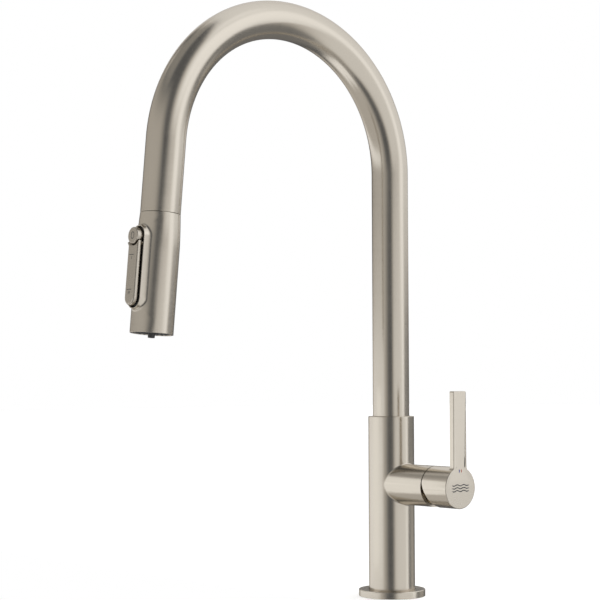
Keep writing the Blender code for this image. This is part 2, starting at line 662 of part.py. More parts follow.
def make_switch_carrier():
    """Black carrier behind the keys, with two ears for the selector's pin."""
    margin = GAP
    outline = stadium(WINDOW_HALF - margin, WINDOW_TOP + margin, WINDOW_BOTTOM - margin)
    carrier = plate("switch_carrier", outline, CARRIER_LOW, CARRIER_HIGH, panel_frame, BLACK)
    ear_half = 2.2 * MM
    ear_top = SELECTOR_PIVOT_OUT + 1.6 * MM
    inner = 3.4 * MM
    outer = 4.6 * MM
    middle = -SELECTOR_PIVOT_DOWN
    for side in (-1, 1):
        edges = sorted((side * inner, side * outer))
        ear = block(f"pin_ear_{side}", (edges[0], middle - ear_half, CARRIER_HIGH - MM),
                    (edges[1], middle + ear_half, ear_top), panel_frame)
        combine(carrier, ear, "UNION")
    pin_r = 0.75 * MM
    pin_at = (0, middle, SELECTOR_PIVOT_OUT)
    combine(carrier, rod("ear_hole", pin_r + GAP, -HEAD_R, HEAD_R, panel_frame, None, COARSE,
                         pin_at, (0, pi / 2, 0)))
    rod("selector_pin", pin_r, -outer, outer, panel_frame, STEEL, COARSE, pin_at, (0, pi / 2, 0))
    for name, down, radius in (("pause_hole", BUTTON_DOWN, 2.4 * MM),
                               ("stream_hole", SELECTOR_PIVOT_DOWN - PLUNGER_ARM, 1.6 * MM),
                               ("spray_hole", SELECTOR_PIVOT_DOWN + PLUNGER_ARM, 1.6 * MM)):
        combine(carrier, rod(name, radius, 0, 2 * HEAD_R, panel_frame, None, COARSE,
                             (0, -down, 0)))


def make_pause_button():
    """Round button with a stem, over its return spring."""
    edge = 0.5 * MM
    cup_r = 4.4 * MM
    cup_top = 20.4 * MM
    stem_r = 2 * MM
    stem_low = 10.2 * MM
    at = (0, -BUTTON_DOWN, 0)
    turned("pause_button", [(0, BUTTON_FACE), (BUTTON_R - edge, BUTTON_FACE),
                            (BUTTON_R, BUTTON_FACE - edge), (BUTTON_R, KEY_UNDERSIDE),
                            (cup_r, KEY_UNDERSIDE), (cup_r, cup_top), (stem_r, cup_top),
                            (stem_r, stem_low), (0, stem_low)], panel_frame, NICKEL, at=at)
    wire_r = 0.3 * MM
    coil_r = 3.2 * MM
    turns = 4
    per_turn = 10
    low = CARRIER_HIGH + GAP + wire_r
    high = cup_top - GAP - wire_r
    steps = turns * per_turn
    route = [(coil_r * cos(2 * pi * i / per_turn), coil_r * sin(2 * pi * i / per_turn) - BUTTON_DOWN,
              low + (high - low) * i / steps) for i in range(steps + 1)]
    tube("pause_spring", route, wire_r, 2, panel_frame, STEEL)


def make_selector():
    """Long rocker key that picks stream or spray, with the two plungers under it."""
    clear = BUTTON_R + 0.8 * MM
    swing = degrees(asin(SELECTOR_HALF / clear))
    upper = arc((0, -BUTTON_DOWN), clear, -90 - swing, -90 + swing, 8)
    lower = arc((0, -SELECTOR_BOTTOM + SELECTOR_HALF), SELECTOR_HALF, 0, -180, 10)
    rocker = plate("spray_selector", upper + lower, KEY_UNDERSIDE, SELECTOR_FACE, panel_frame,
                   NICKEL)
    middle = -SELECTOR_PIVOT_DOWN
    pocket_half = 3.6 * MM
    pocket_side = 5.0 * MM
    pocket_top = 18.6 * MM
    lug_side = 2.9 * MM
    lug_half = 1.6 * MM
    pocket = block("selector_pocket", (-pocket_side, middle - pocket_half, CARRIER_LOW),
                   (pocket_side, middle + pocket_half, pocket_top), panel_frame)
    lug = block("selector_lug", (-lug_side, middle - lug_half, CARRIER_HIGH + 0.4 * MM),
                (lug_side, middle + lug_half, pocket_top + MM), panel_frame)
    combine(rocker, pocket)
    combine(rocker, lug, "UNION")
    combine(rocker, rod("selector_pin_hole", 1.05 * MM, -lug_side - GAP, lug_side + GAP,
                        panel_frame, None, COARSE, (0, middle, SELECTOR_PIVOT_OUT),
                        (0, pi / 2, 0)))
    for name, side in (("stream_plunger", 1), ("spray_plunger", -1)):
        rod(name, PLUNGER_R, 7 * MM, KEY_UNDERSIDE - 1.3 * GAP, panel_frame, STEEL, COARSE,
            (0, middle + side * PLUNGER_ARM, 0))


def make_spray_face():
    """Spray face with a ring of jets, the soft mat behind it and the stream nozzle."""
    face_low = -(HEAD_LENGTH - FACE_RECESS)
    face_high = -77 * MM
    flange_r = 4.3 * MM
    inner_r = flange_r + GAP
    shell_r = HEAD_R - HEAD_WALL
    jet_r = 0.8 * MM
    jets = 12
    ring("nozzle_mat", shell_r - 0.6 * MM, inner_r, -76.6 * MM, -75 * MM, head_frame, RUBBER)
    face = ring("spray_face", shell_r - 0.35 * MM, inner_r, face_low, face_high, head_frame, BLACK)
    for count in range(jets):
        x, y = around(9.1 * MM, 360 * count / jets + 5)
        combine(face, rod(f"jet_{count}", jet_r, face_low - MM, face_high + MM, head_frame, None,
                          8, (x, y, 0)))
    bore = 1.2 * MM
    turned("stream_nozzle", [(flange_r, face_high), (flange_r, face_low + MM),
                             (NOZZLE_R, face_low + MM), (NOZZLE_R, -NOZZLE_TIP),
                             (bore, -NOZZLE_TIP), (bore, face_high)], head_frame, BLACK, COARSE)


make_base()
make_column()
make_inlets()
make_manifold()
make_mixing(make_valve())
make_stem()
make_lever()
make_spout()
make_dock()
make_head_shell()
make_head_inlet()
make_diverter()
make_switch_carrier()
make_pause_button()
make_selector()
make_spray_face()
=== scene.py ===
"""Looks of the pull-down kitchen faucet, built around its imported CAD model.

Lengths are in metres. The origin is the centre of the base on the deck, +Z is up, the
spout reaches towards -Y and the lever's axis points along +X.
"""
import json
from contextlib import contextmanager

from math import asin, atan2, cos, degrees, pi, radians, sin, tan

import bmesh
import bpy
from mathutils import Matrix, Vector


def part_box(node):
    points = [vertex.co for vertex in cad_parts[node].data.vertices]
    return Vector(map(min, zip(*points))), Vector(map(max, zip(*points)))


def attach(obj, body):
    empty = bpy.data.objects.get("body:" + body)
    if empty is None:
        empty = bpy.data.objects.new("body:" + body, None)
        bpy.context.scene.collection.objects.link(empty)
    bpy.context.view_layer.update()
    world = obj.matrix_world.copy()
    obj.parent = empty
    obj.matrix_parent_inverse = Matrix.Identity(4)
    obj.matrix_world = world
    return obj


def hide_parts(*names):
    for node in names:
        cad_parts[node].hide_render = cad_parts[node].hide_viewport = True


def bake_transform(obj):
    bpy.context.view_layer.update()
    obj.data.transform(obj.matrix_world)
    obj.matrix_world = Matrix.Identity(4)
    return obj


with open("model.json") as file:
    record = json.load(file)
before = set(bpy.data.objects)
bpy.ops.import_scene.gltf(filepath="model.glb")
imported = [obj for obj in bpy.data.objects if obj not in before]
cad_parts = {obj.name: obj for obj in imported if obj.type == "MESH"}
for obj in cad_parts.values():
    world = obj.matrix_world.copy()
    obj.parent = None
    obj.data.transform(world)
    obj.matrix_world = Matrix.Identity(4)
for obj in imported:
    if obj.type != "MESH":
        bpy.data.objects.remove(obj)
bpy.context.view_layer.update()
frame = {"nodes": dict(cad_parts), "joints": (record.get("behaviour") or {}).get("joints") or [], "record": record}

MM = 0.001
ROUND = 96                          # sides of a large round piece
SMALL_ROUND = 48

# Camera and studio
CAMERA_PLACE = Vector((0.93803, -0.87830, 0.16868))
CAMERA_HEADING = radians(49.9993)   # of its line of sight, from +Y towards -X
CAMERA_PITCH = radians(2.59)
CAMERA_ROLL = radians(-0.197)
LENS_MM = 99.76
SENSOR_MM = 36.0
STUDIO_FRONT = radians(-43.1)       # plan direction of the studio's front, from +X
FLOOR_SIZE = 12.0
FLOOR_DROP = 0.3 * MM               # keeps the floor just clear of the flange
FLOOR_FRONT = -0.060                # the deck ends here, where a sink's bowl would begin

# -------- places from the frame

joints = {joint["name"]: joint for joint in frame["joints"]}


def size_of(node):
    """A CAD node's size along each axis."""
    low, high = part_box(node)
    return high - low


pipe_r = size_of("spout_tube").x / 2
column_r = size_of("mixer_body").x / 2
pipe_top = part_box("spout_tube")[1].z
leg_down = Vector(joints["spray_head_pull"]["axis"]).normalized()
lean = atan2(-leg_down.y, -leg_down.z)
panel_out = Vector((0, -cos(lean), sin(lean)))

# Panel on the spray head: distances down from the seam and out from the head's axis
PIVOT_DOWN = 45.0 * MM
PIVOT_OUT = 16.3 * MM
WINDOW_TOP = 10.9 * MM
WINDOW_BOTTOM = 67.0 * MM
WINDOW_HALF = 6.9 * MM
PANEL_RIM = 17.2 * MM
BUTTON_DOWN = 17.9 * MM
BUTTON_FACE = 21.6 * MM
BUTTON_R = 5.75 * MM
BUTTON_CLEARANCE = 0.8 * MM
SELECTOR_FACE = 20.9 * MM
SELECTOR_HALF = 5.6 * MM
SELECTOR_BOTTOM = 65.8 * MM
KEY_UNDERSIDE = 16.8 * MM
KEY_ROUNDING = 1.3 * MM
CARRIER_FACE = 14.5 * MM
CUP_TOP = 20.4 * MM                 # of the hollow under the button
GAP = 0.3 * MM                      # between pieces that touch
HEAD_LENGTH = 83.4 * MM
HEAD_R = 15.06 * MM
HEAD_FLARE = 26.0 * MM
HEAD_WALL = 1.5 * MM
FACE_RECESS = 0.35 * MM
SEAM_GAP = 0.18 * MM
STEM_END = 10.2 * MM                # how far in the button's stem reaches
NOZZLE_TIP = 86.1 * MM
NOZZLE_R = 2.4 * MM
NOZZLE_COLLAR_R = 4.3 * MM
PROUD = 0.02 * MM                   # how far marks stand out of a face
MARK_SINK = 0.1 * MM                # how far they reach into it
RISER_FOOT = 6.0 * MM               # of the riser's end, above the spout foot's end
HOSE_SIDES = 32

selector_pivot = Vector(joints["selector_rock"]["pos_m"])
seam = selector_pivot - leg_down * PIVOT_DOWN - panel_out * PIVOT_OUT

# The arch's radius and the leg's length follow from the pipe's top and the seam
middle_top = pipe_top - pipe_r
arch_r = (-seam.y * cos(lean) + (seam.z - middle_top) * sin(lean)) / (1 + cos(lean) - sin(lean))
leg_length = (-seam.y - arch_r * (1 + cos(lean))) / sin(lean)
arch_start = middle_top - arch_r
arch_sweep = pi - lean


def on_head(x, down, out):
    """A point of the spray head, in the row frame."""
    return seam + Vector((x, 0, 0)) + leg_down * down + panel_out * out


# -------- node and mesh helpers


class Nodes:
    """Builds a node tree with short calls."""

    def __init__(self, tree):
        self.tree = tree

    def node(self, kind, inputs=(), **settings):
        """A node with its settings, and its inputs by name or in order."""
        made = self.tree.nodes.new(kind)
        for name, value in settings.items():
            setattr(made, name, value)
        pairs = inputs.items() if isinstance(inputs, dict) else enumerate(inputs)
        for name, value in pairs:
            self.put(value, made.inputs[name])
        return made

    def put(self, value, socket):
        """Links a socket, or sets a plain value."""
        if isinstance(value, bpy.types.NodeSocket):
            self.tree.links.new(value, socket)
        else:
            socket.default_value = value

    def math(self, operation, a, b=0.0, c=0.0):
        return self.node("ShaderNodeMath", (a, b, c), operation=operation).outputs[0]

    def noise(self, vector, scale, detail=3.0, roughness=0.55):
        return self.node("ShaderNodeTexNoise", {"Vector": vector, "Scale": scale, "Detail": detail,
                                                "Roughness": roughness}).outputs["Fac"]

    def stretch(self, vector, scale):
        return self.node("ShaderNodeMapping", {"Vector": vector, "Scale": scale}).outputs[0]

    def remap(self, value, low, high, to_low, to_high, kind="LINEAR"):
        return self.node("ShaderNodeMapRange", (value, low, high, to_low, to_high),
                         interpolation_type=kind).outputs[0]

    def fade(self, value, edges):
        """1 between the middle two of four edges, easing to 0 at the outer two."""
        rise = self.remap(value, edges[0], edges[1], 0.0, 1.0, "SMOOTHSTEP")
        fall = self.remap(value, edges[2], edges[3], 1.0, 0.0, "SMOOTHSTEP")
        return self.math("MULTIPLY", rise, fall)

    def mix_colour(self, factor, a, b):
        made = self.node("ShaderNodeMix", data_type="RGBA")
        for name, value in (("Factor", factor), ("A", a), ("B", b)):
            self.put(value, made.inputs[name])
        return made.outputs["Result"]

    def bump(self, height, distance, strength=1.0):
        return self.node("ShaderNodeBump", {"Strength": strength, "Distance": distance,
                                            "Height": height}).outputs[0]


def new_material(name):
    """An empty material: its node builder and its Principled shader."""
    material = bpy.data.materials.new(name)
    material.use_nodes = True
    nodes = Nodes(material.node_tree)
    return material, nodes, material.node_tree.nodes["Principled BSDF"]


def rgb(*parts):
    return (*parts, 1.0)


def shade(colour, factor):
    return rgb(*(min(part * factor, 1) for part in colour))


def paint(made, material):
    made.data.materials.clear()
    made.data.materials.append(material)


def new_object(name, data):
    """An object in the scene."""
    made = bpy.data.objects.new(name, data)
    bpy.context.scene.collection.objects.link(made)
    return made


def mesh_object(name, points, faces, uvs=None):
    """A mesh object from points and faces, with one UV pair per face corner if given."""
    mesh = bpy.data.meshes.new(name)
    mesh.from_pydata([tuple(p) for p in points], [], faces)
    if uvs:
        layer = mesh.uv_layers.new(name="along")
        for loop, uv in zip(layer.data, uvs):
            loop.uv = uv
    mesh.update()
    return new_object(name, mesh)


def grid(name, rows, closed_rows=False, along=None, across=None):
    """A skin over rows of points, with UVs round and along it.

    Each row is a closed loop, or open where across gives its points' UVs.
    """
    count = len(rows[0])
    points = [point for row in rows for point in row]
    along = along or [0.0] * (len(rows) + 1)
    faces = []
    uvs = []
    last = len(rows) if closed_rows else len(rows) - 1
    girth = sum((rows[0][i] - rows[0][i - 1]).length for i in range(count))
    girth = max(girth, MM)
    for r in range(last):
        s = (r + 1) % len(rows)
        for c in range(count - bool(across)):
            d = (c + 1) % count
            faces.append((r * count + c, r * count + d, s * count + d, s * count + c))
            left = across[c] if across else girth * c / count
            right = across[d] if across else girth * (c + 1) / count
            uvs += [(left, along[r]), (right, along[r]), (right, along[r + 1]),
                    (left, along[r + 1])]
    return mesh_object(name, points, faces, uvs)


def soften_profile(profile, segments=4):
    """Rounds the corners of a (radius, height, rounding) outline; returns (radius, height)."""
    done = []
    count = len(profile)
    for i, (radius, height, rounding) in enumerate(profile):
        here = Vector((radius, height))
        before = Vector(profile[i - 1][:2])
        after = Vector(profile[(i + 1) % count][:2])
        if rounding <= 0:
            done.append(here)
            continue
        back = (before - here).normalized()
        on = (after - here).normalized()
        half = back.angle(on) / 2
        reach = rounding / tan(half)
        centre = here + (back + on).normalized() * (rounding / sin(half))
        start = here + back * reach - centre
        turn = (here + on * reach - centre)
        sweep = start.angle_signed(turn)
        for step in range(segments + 1):
            angle = -sweep * step / segments
            done.append(centre + Matrix.Rotation(angle, 2) @ start)
    return done


def turned_loop(point, place, steps):
    return [place @ Vector((point.x * cos(a), point.x * sin(a), point.y))
            for a in (2 * pi * k / steps for k in range(steps))]


def lathe(name, profile, place=Matrix(), steps=ROUND, segments=4):
    """A turned, closed ring from its outline, down the outer side and up the inner one.

    place is the matrix from the turning frame (axis Z) to the row frame.
    """
    outline = soften_profile(profile, segments)
    rows = []
    along = [0.0]
    for i, point in enumerate(outline):
        rows.append(turned_loop(point, place, steps))
        ahead = outline[(i + 1) % len(outline)]
        along.append(along[-1] + (ahead - point).length)
    made = grid(name, rows, closed_rows=True, along=along)
    face_outwards(made)
    return made


def cap_lathe(name, profile, place=Matrix(), steps=ROUND, segments=4):
    """A turned solid whose outline starts and ends on the axis."""
    outline = soften_profile(profile, segments)
    first = place @ Vector((0, 0, outline[0].y))
    last = place @ Vector((0, 0, outline[-1].y))
    points = [first, last]
    faces = []
    uvs = []
    along = 0.0
    inner = outline[1:-1]
    for point in inner:
        points += turned_loop(point, place, steps)
    for k in range(steps):
        d = (k + 1) % steps
        faces.append((0, 2 + k, 2 + d))
        uvs += [(0, 0), (k / steps * MM, inner[0].x), ((k + 1) / steps * MM, inner[0].x)]
    for r in range(len(inner) - 1):
        step = (inner[r + 1] - inner[r]).length
        girth = 2 * pi * inner[r].x / steps
        for k in range(steps):
            d = (k + 1) % steps
            a = 2 + r * steps
            b = a + steps
            faces.append((a + k, b + k, b + d, a + d))
            uvs += [(girth * k, along), (girth * k, along + step),
                    (girth * (k + 1), along + step), (girth * (k + 1), along)]
        along += step
    base = 2 + (len(inner) - 1) * steps
    for k in range(steps):
        d = (k + 1) % steps
        faces.append((1, base + d, base + k))
        uvs += [(0, 0), ((k + 1) / steps * MM, inner[-1].x), (k / steps * MM, inner[-1].x)]
    made = mesh_object(name, points, faces, uvs)
    face_outwards(made)
    return made


@contextmanager
def editing(made):
    """A mesh object as a bmesh, written back at the end."""
    shape = bmesh.new()
    shape.from_mesh(made.data)
    yield shape
    shape.to_mesh(made.data)
    shape.free()


def face_outwards(made):
    """Turns every face outwards."""
    with editing(made) as shape:
        bmesh.ops.recalc_face_normals(shape, faces=shape.faces)


def weld(made, distance=0.01 * MM):
    """Merges points that lie together, and turns every face outwards."""
    with editing(made) as shape:
        bmesh.ops.remove_doubles(shape, verts=shape.verts, dist=distance)
        bmesh.ops.recalc_face_normals(shape, faces=shape.faces)


def smooth(made, angle=35.0):
    """Smooth shading, with edges kept sharp above an angle in degrees."""
    made.data.shade_smooth()
    made.data.set_sharp_from_angle(angle=radians(angle))


def weighted(made):
    """Smooth shading weighted by face area, so that flats stay flat beside small roundings."""
    smooth(made)
    modifier = made.modifiers.new("weighted", "WEIGHTED_NORMAL")
    modifier.keep_sharp = True
    modifier.weight = 80


def apply_modifiers(made):
    """Replaces an object's mesh by its evaluated one."""
    graph = bpy.context.evaluated_depsgraph_get()
    mesh = bpy.data.meshes.new_from_object(made.evaluated_get(graph))
    made.modifiers.clear()
    made.data = mesh


def boolean(target, tool, operation):
    """Applies one Boolean and removes the tool."""
    modifier = target.modifiers.new("boolean", "BOOLEAN")
    modifier.object = tool
    modifier.operation = operation
    modifier.solver = "EXACT"
    apply_modifiers(target)
    bpy.data.objects.remove(tool)


def bevel(target, width, segments=3, angle=35.0):
    modifier = target.modifiers.new("bevel", "BEVEL")
    modifier.width = width
    modifier.segments = segments
    modifier.limit_method = "ANGLE"
    modifier.angle_limit = radians(angle)
    modifier.miter_outer = "MITER_ARC"
    apply_modifiers(target)


def slab(name, outline, low, high, place, rounding=0.0, segments=4):
    """A flat outline in a frame's XY plane, extruded from low to high, with rounded rims."""
    curve = bpy.data.curves.new(name, "CURVE")
    curve.dimensions = "2D"
    curve.fill_mode = "BOTH"
    curve.extrude = (high - low) / 2 - rounding
    curve.bevel_depth = rounding
    curve.bevel_resolution = segments
    curve.offset = -rounding
    spline = curve.splines.new("POLY")
    spline.points.add(len(outline) - 1)
    for point, (x, y) in zip(spline.points, outline):
        point.co = (x, y, 0, 1)
    spline.use_cyclic_u = True
    holder = new_object(name, curve)
    graph = bpy.context.evaluated_depsgraph_get()
    mesh = bpy.data.meshes.new_from_object(holder.evaluated_get(graph))
    bpy.data.objects.remove(holder)
    made = new_object(name, mesh)
    mesh.transform(place @ Matrix.Translation((0, 0, (low + high) / 2)))
    weld(made)
    return made


def arc(centre, radius, start, end, steps):
    """Points of a circular arc; angles in degrees."""
    angles = [radians(start + (end - start) * i / steps) for i in range(steps + 1)]
    return [(centre[0] + radius * cos(a), centre[1] + radius * sin(a)) for a in angles]


def rounded_box(x, y, half_x, half_y, corner, steps):
    """A box outline with rounded corners, round from its first corner."""
    out_x = half_x - corner
    out_y = half_y - corner
    return [point for start, (a, b) in zip((0, 90, 180, 270), ((1, 1), (-1, 1), (-1, -1), (1, -1)))
            for point in arc((x + a * out_x, y + b * out_y), corner, start, start + 90, steps)]


def dress(piece, body, material, *nodes, slot="satin_nickel"):
    """Gives a piece its material and body, and hides the CAD nodes that it stands for."""
    paint(piece, material)
    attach(piece, body)
    if nodes:
        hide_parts(*nodes)


# -------- turning frames

head_place = Matrix.Translation(seam) @ Matrix.Rotation(-lean, 4, "X")
panel_place = head_place @ Matrix.Rotation(pi / 2, 4, "X")
arm_z = joints["lever_turn"]["pos_m"][2]
arm_place = Matrix.Translation((0, 0, arm_z)) @ Matrix.Rotation(pi / 2, 4, "Y")

# -------- materials


def brushed(name, colour, roughness, along="UV", grain=1.0, lean_by=0.0):
    """Satin metal: fine lines round the piece, soft blotches, and a painted highlight that makes sharp edges
    lighter.

    along is "UV" for pieces whose UVs run round and along them, otherwise the axis (X or Z)
    that the lines run round, or "none" for an even satin.
    """
    material, nodes, shader = new_material(name)
    place = nodes.node("ShaderNodeTexCoord")
    stretches = {"UV": (40, 2400, 1), "Z": (40, 40, 2400), "X": (2400, 40, 40),
                 "none": (1900, 1900, 1900)}
    source = place.outputs["UV" if along == "UV" else "Object"]
    if lean_by:
        source = nodes.node("ShaderNodeVectorRotate", {"Vector": source, "Angle": lean_by},
                            rotation_type="X_AXIS").outputs[0]
    lines = nodes.noise(nodes.stretch(source, stretches[along]), 1.0, 2.0)
    broad = nodes.noise(nodes.stretch(source, stretches[along]), 0.22, 2.0)
    cloud = nodes.noise(place.outputs["Object"], 38.0, 3.0)
    grain_mix = nodes.math("MULTIPLY_ADD", lines, 0.6, nodes.math("MULTIPLY", broad, 0.4))
    tone = nodes.math("MULTIPLY_ADD", grain_mix, 0.6, nodes.math("MULTIPLY", cloud, 0.4))
    body = nodes.mix_colour(tone, shade(colour, 1 - 0.06 * grain), shade(colour, 1 + 0.06 * grain))
    shape = nodes.node("ShaderNodeNewGeometry")
    # Painted highlight: sharp convex edges (by Pointiness) get a lighter colour and a lower roughness.
    edge = nodes.remap(shape.outputs["Pointiness"], 0.53, 0.62, 0.0, 0.35)
    nodes.put(nodes.mix_colour(edge, body, shade(colour, 1.15)), shader.inputs["Base Color"])
    spread = 0.04 * grain
    rough = nodes.remap(tone, 0.35, 0.65, roughness - spread, roughness + spread)
    nodes.put(nodes.math("SUBTRACT", rough, nodes.math("MULTIPLY", edge, 0.08)),
              shader.inputs["Roughness"])
    shader.inputs["Metallic"].default_value = 1.0
    shader.inputs["Specular Tint"].default_value = rgb(0.78, 0.76, 0.74)
    nodes.put(nodes.bump(grain_mix, 0.000004 * grain, 0.6), shader.inputs["Normal"])
    return material


def moulded(name, colour, roughness, grain=1.0):
    """Moulded plastic or rubber with a fine spark-eroded grain."""
    material, nodes, shader = new_material(name)
    place = nodes.node("ShaderNodeTexCoord")
    fine = nodes.noise(place.outputs["Object"], 3200.0, 2.0)
    cloud = nodes.noise(place.outputs["Object"], 120.0, 3.0)
    nodes.put(nodes.mix_colour(cloud, shade(colour, 0.85), shade(colour, 1.12)),
              shader.inputs["Base Color"])
    rough = nodes.remap(cloud, 0.3, 0.7, roughness - 0.06, roughness + 0.06)
    nodes.put(rough, shader.inputs["Roughness"])
    nodes.put(nodes.bump(fine, 0.00002 * grain, 0.6), shader.inputs["Normal"])
    return material


def braided(name):
    """Braided hose sleeve: two sets of strands wound round the pipe's axis."""
    material, nodes, shader = new_material(name)
    place = nodes.node("ShaderNodeTexCoord")
    parts = nodes.node("ShaderNodeSeparateXYZ", (place.outputs["Object"],))
    strands = 0.0
    for sign in (-1, 1):
        phase = nodes.math("ADD", nodes.math("MULTIPLY", parts.outputs["Z"], 1900.0),
                           nodes.math("MULTIPLY", parts.outputs["X"], 1500.0 * sign))
        wave = nodes.math("ABSOLUTE", nodes.math("SINE", phase))
        strands = nodes.math("MAXIMUM", wave, strands)
    nodes.put(nodes.mix_colour(strands, rgb(0.05, 0.05, 0.055), rgb(0.30, 0.30, 0.31)),
              shader.inputs["Base Color"])
    nodes.put(nodes.remap(strands, 0, 1, 0.65, 0.42), shader.inputs["Roughness"])
    nodes.put(nodes.bump(strands, 0.0003, 0.7), shader.inputs["Normal"])
    return material


NICKEL_COLOUR = (0.68, 0.628, 0.545)
# Painted shade: the keys' colour is the nickel's made darker, so the button and selector faces read as shaded.
SHADED_KEY_COLOUR = (0.57, 0.525, 0.455)
nickel = brushed("satin_nickel", NICKEL_COLOUR, 0.23)
nickel_head = brushed("satin_nickel_head", NICKEL_COLOUR, 0.24, "Z", 0.8, lean)
nickel_arm = brushed("satin_nickel_arm", NICKEL_COLOUR, 0.23, "X", 0.8)
nickel_plain = brushed("satin_nickel_plain", NICKEL_COLOUR, 0.26, "none", 0.5)
# Painted shade: the keys' satin nickel uses the darkened colour above.
shaded_nickel_keys = brushed("satin_nickel_shaded_keys", SHADED_KEY_COLOUR, 0.27, "none", 0.22)
steel = brushed("machined_steel", (0.55, 0.55, 0.56), 0.28, "Z", 2.0)
brass = brushed("machined_brass", (0.70, 0.52, 0.26), 0.30, "Z", 2.0)
black = moulded("black_plastic", (0.018, 0.018, 0.019), 0.42)
white = moulded("white_plastic", (0.72, 0.72, 0.69), 0.40)
rubber = moulded("black_rubber", (0.022, 0.022, 0.022), 0.72, 2.0)
ceramic = moulded("alumina", (0.84, 0.81, 0.75), 0.16, 0.4)
ferrite = moulded("ferrite", (0.09, 0.09, 0.10), 0.38, 1.5)
blue = moulded("blue_enamel", (0.10, 0.13, 0.42), 0.35, 0.3)
red = moulded("red_enamel", (0.60, 0.16, 0.12), 0.35, 0.3)
etched = moulded("etched_mark", (0.075, 0.078, 0.085), 0.6, 0.5)
soft_black = moulded("spray_silicone", (0.07, 0.07, 0.072), 0.45, 1.0)
hose_sleeve = braided("hose_sleeve")

SLOT_MATERIALS = {"satin_nickel": nickel_plain, "brass": brass, "stainless_steel": steel,
                  "black_plastic": black, "white_plastic": white, "rubber": rubber,
                  "ceramic": ceramic, "magnet": ferrite, "hose_braid": hose_sleeve,
                  "cold_blue": blue, "hot_red": red}


def dress_cad():
    """Every CAD node that stays visible gets the material of its slot."""
    for entry in frame["record"]["subparts"]:
        made = frame["nodes"][entry["node"]]
        paint(made, SLOT_MATERIALS[entry["material_slot"]])
        smooth(made, 30.0)


# -------- base and column


def make_base():
    low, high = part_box("base_flange")
    radius = size_of("base_flange").x / 2
    inner = column_r + GAP
    gasket_r = size_of("base_gasket").x / 2 + GAP
    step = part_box("base_gasket")[1].z + GAP
    flange = lathe("flange_ring", [(radius, high.z, 0.55 * MM), (radius, low.z, 0.25 * MM),
                                   (gasket_r, low.z, 0.1 * MM), (gasket_r, step, 0),
                                   (inner, step, 0), (inner, high.z, 0.25 * MM)])
    weighted(flange)
    dress(flange, "base", nickel, "base_flange")

    low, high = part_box("mixer_body")
    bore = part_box("swivel_collar")[1].x + GAP
    seat_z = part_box("upper_bush")[0].z - GAP
    thin = 15.2 * MM
    column = lathe("column_tube", [(column_r, high.z, 0.45 * MM), (column_r, low.z, 0.2 * MM),
                                   (thin, low.z, 0), (thin, seat_z, 0), (bore, seat_z, 0),
                                   (bore, high.z, 0.2 * MM)], segments=5)
    weighted(column)
    dress(column, "base", nickel, "mixer_body")

    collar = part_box("swivel_collar")
    outer = size_of("swivel_collar").x / 2
    inner = pipe_r + GAP
    ring = lathe("collar_ring", [(outer, collar[1].z, 0.25 * MM), (outer, collar[0].z, 0),
                                 (inner, collar[0].z, 0), (inner, collar[1].z, 0.25 * MM)])
    weighted(ring)
    dress(ring, "base", nickel, "swivel_collar")


def saddle_fillet(arm_r):
    """The small hollow fillet where the arm meets the column."""
    fillet = 0.75 * MM
    bury = 0.3 * MM
    steps = 144
    rows = []
    for i in range(steps):
        a = 2 * pi * i / steps
        out = Vector((0, cos(a), sin(a)))
        y = arm_r * cos(a)
        corner = Vector(((column_r ** 2 - y ** 2) ** 0.5, y, arm_z + arm_r * sin(a)))
        skin = Vector((corner.x, corner.y, 0)) / column_r
        along_column = (out - skin * out.dot(skin)).normalized()
        along_arm = (skin - out * skin.dot(out)).normalized()
        row = [corner + along_arm * fillet * (1 - sin(pi / 2 * k / 6))
               + along_column * fillet * (1 - cos(pi / 2 * k / 6)) for k in range(7)]
        rows.append(row + [corner - skin * bury + along_column * fillet,
                           corner - (skin + out) * bury, corner - out * bury + along_arm * fillet])
    rows.append(rows[0])
    made = grid("saddle_fillet", rows)
    weld(made)
    return made


def make_arm():
    """Arm housing, cut to sit on the round column."""
    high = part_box("valve_housing")[1]
    radius = size_of("valve_housing").y / 2
    bore = 13.0 * MM
    housing = lathe("arm_housing", [(radius, high.x, 0), (radius, 4 * MM, 0), (bore, 4 * MM, 0),
                                    (bore, high.x, 0)], arm_place, steps=128)
    saddle_r = column_r + 0.12 * MM
    saddle = cap_lathe("saddle", [(0, arm_z + 30 * MM, 0), (saddle_r, arm_z + 30 * MM, 0),
                                  (saddle_r, arm_z - 30 * MM, 0), (0, arm_z - 30 * MM, 0)],
                       steps=128)
    boolean(housing, saddle, "DIFFERENCE")
    bevel(housing, 0.3 * MM, 3, 40.0)
    housing = join("arm_housing", [housing, saddle_fillet(radius)])
    weighted(housing)
    dress(housing, "base", nickel_arm, "valve_housing")


# -------- lever

LEVER_TILT = 20.0
RELIEF_DISTANCE = 12.93 * MM
BLADE_THICKNESS = 4.05 * MM
BLADE_HALF_ROOT = 6.8 * MM
BLADE_HALF_TOP = 6.6 * MM
BLADE_FILLET = 3.0 * MM
FRONT_EDGE = 0.6 * MM


def blade_outline(radius, top):
    """The lever's blade, widening with a fillet where it meets the disc."""
    reach = radius + BLADE_FILLET
    side = BLADE_HALF_ROOT + BLADE_FILLET
    centre_x = -((reach * reach - side * side) ** 0.5)
    meet = degrees(asin(side / reach))
    corner = 1.0 * MM
    right = arc((centre_x, side), BLADE_FILLET, -90, -meet, 10)
    tip = arc((top + corner, BLADE_HALF_TOP - corner), corner, 180, 90, 5)
    half = tip + right + [(centre_x + 4 * MM, side - 2 * BLADE_FILLET)]
    return half + [(x, -y) for x, y in reversed(half)]


def round_front(made, front, width):
    """Rounds the outline of a piece's flat front, which faces along +X."""
    with editing(made) as shape:
        bmesh.ops.remove_doubles(shape, verts=shape.verts, dist=0.03 * MM)
        bmesh.ops.dissolve_limit(shape, angle_limit=radians(1), verts=shape.verts,
                                 edges=shape.edges)
        rim = [edge for edge in shape.edges
               if all(abs(v.co.x - front) < 0.01 * MM for v in edge.verts)
               and edge.is_manifold and edge.calc_face_angle() > radians(45)]
        bmesh.ops.bevel(shape, geom=rim, offset=width, segments=4, profile=0.5, affect="EDGES")


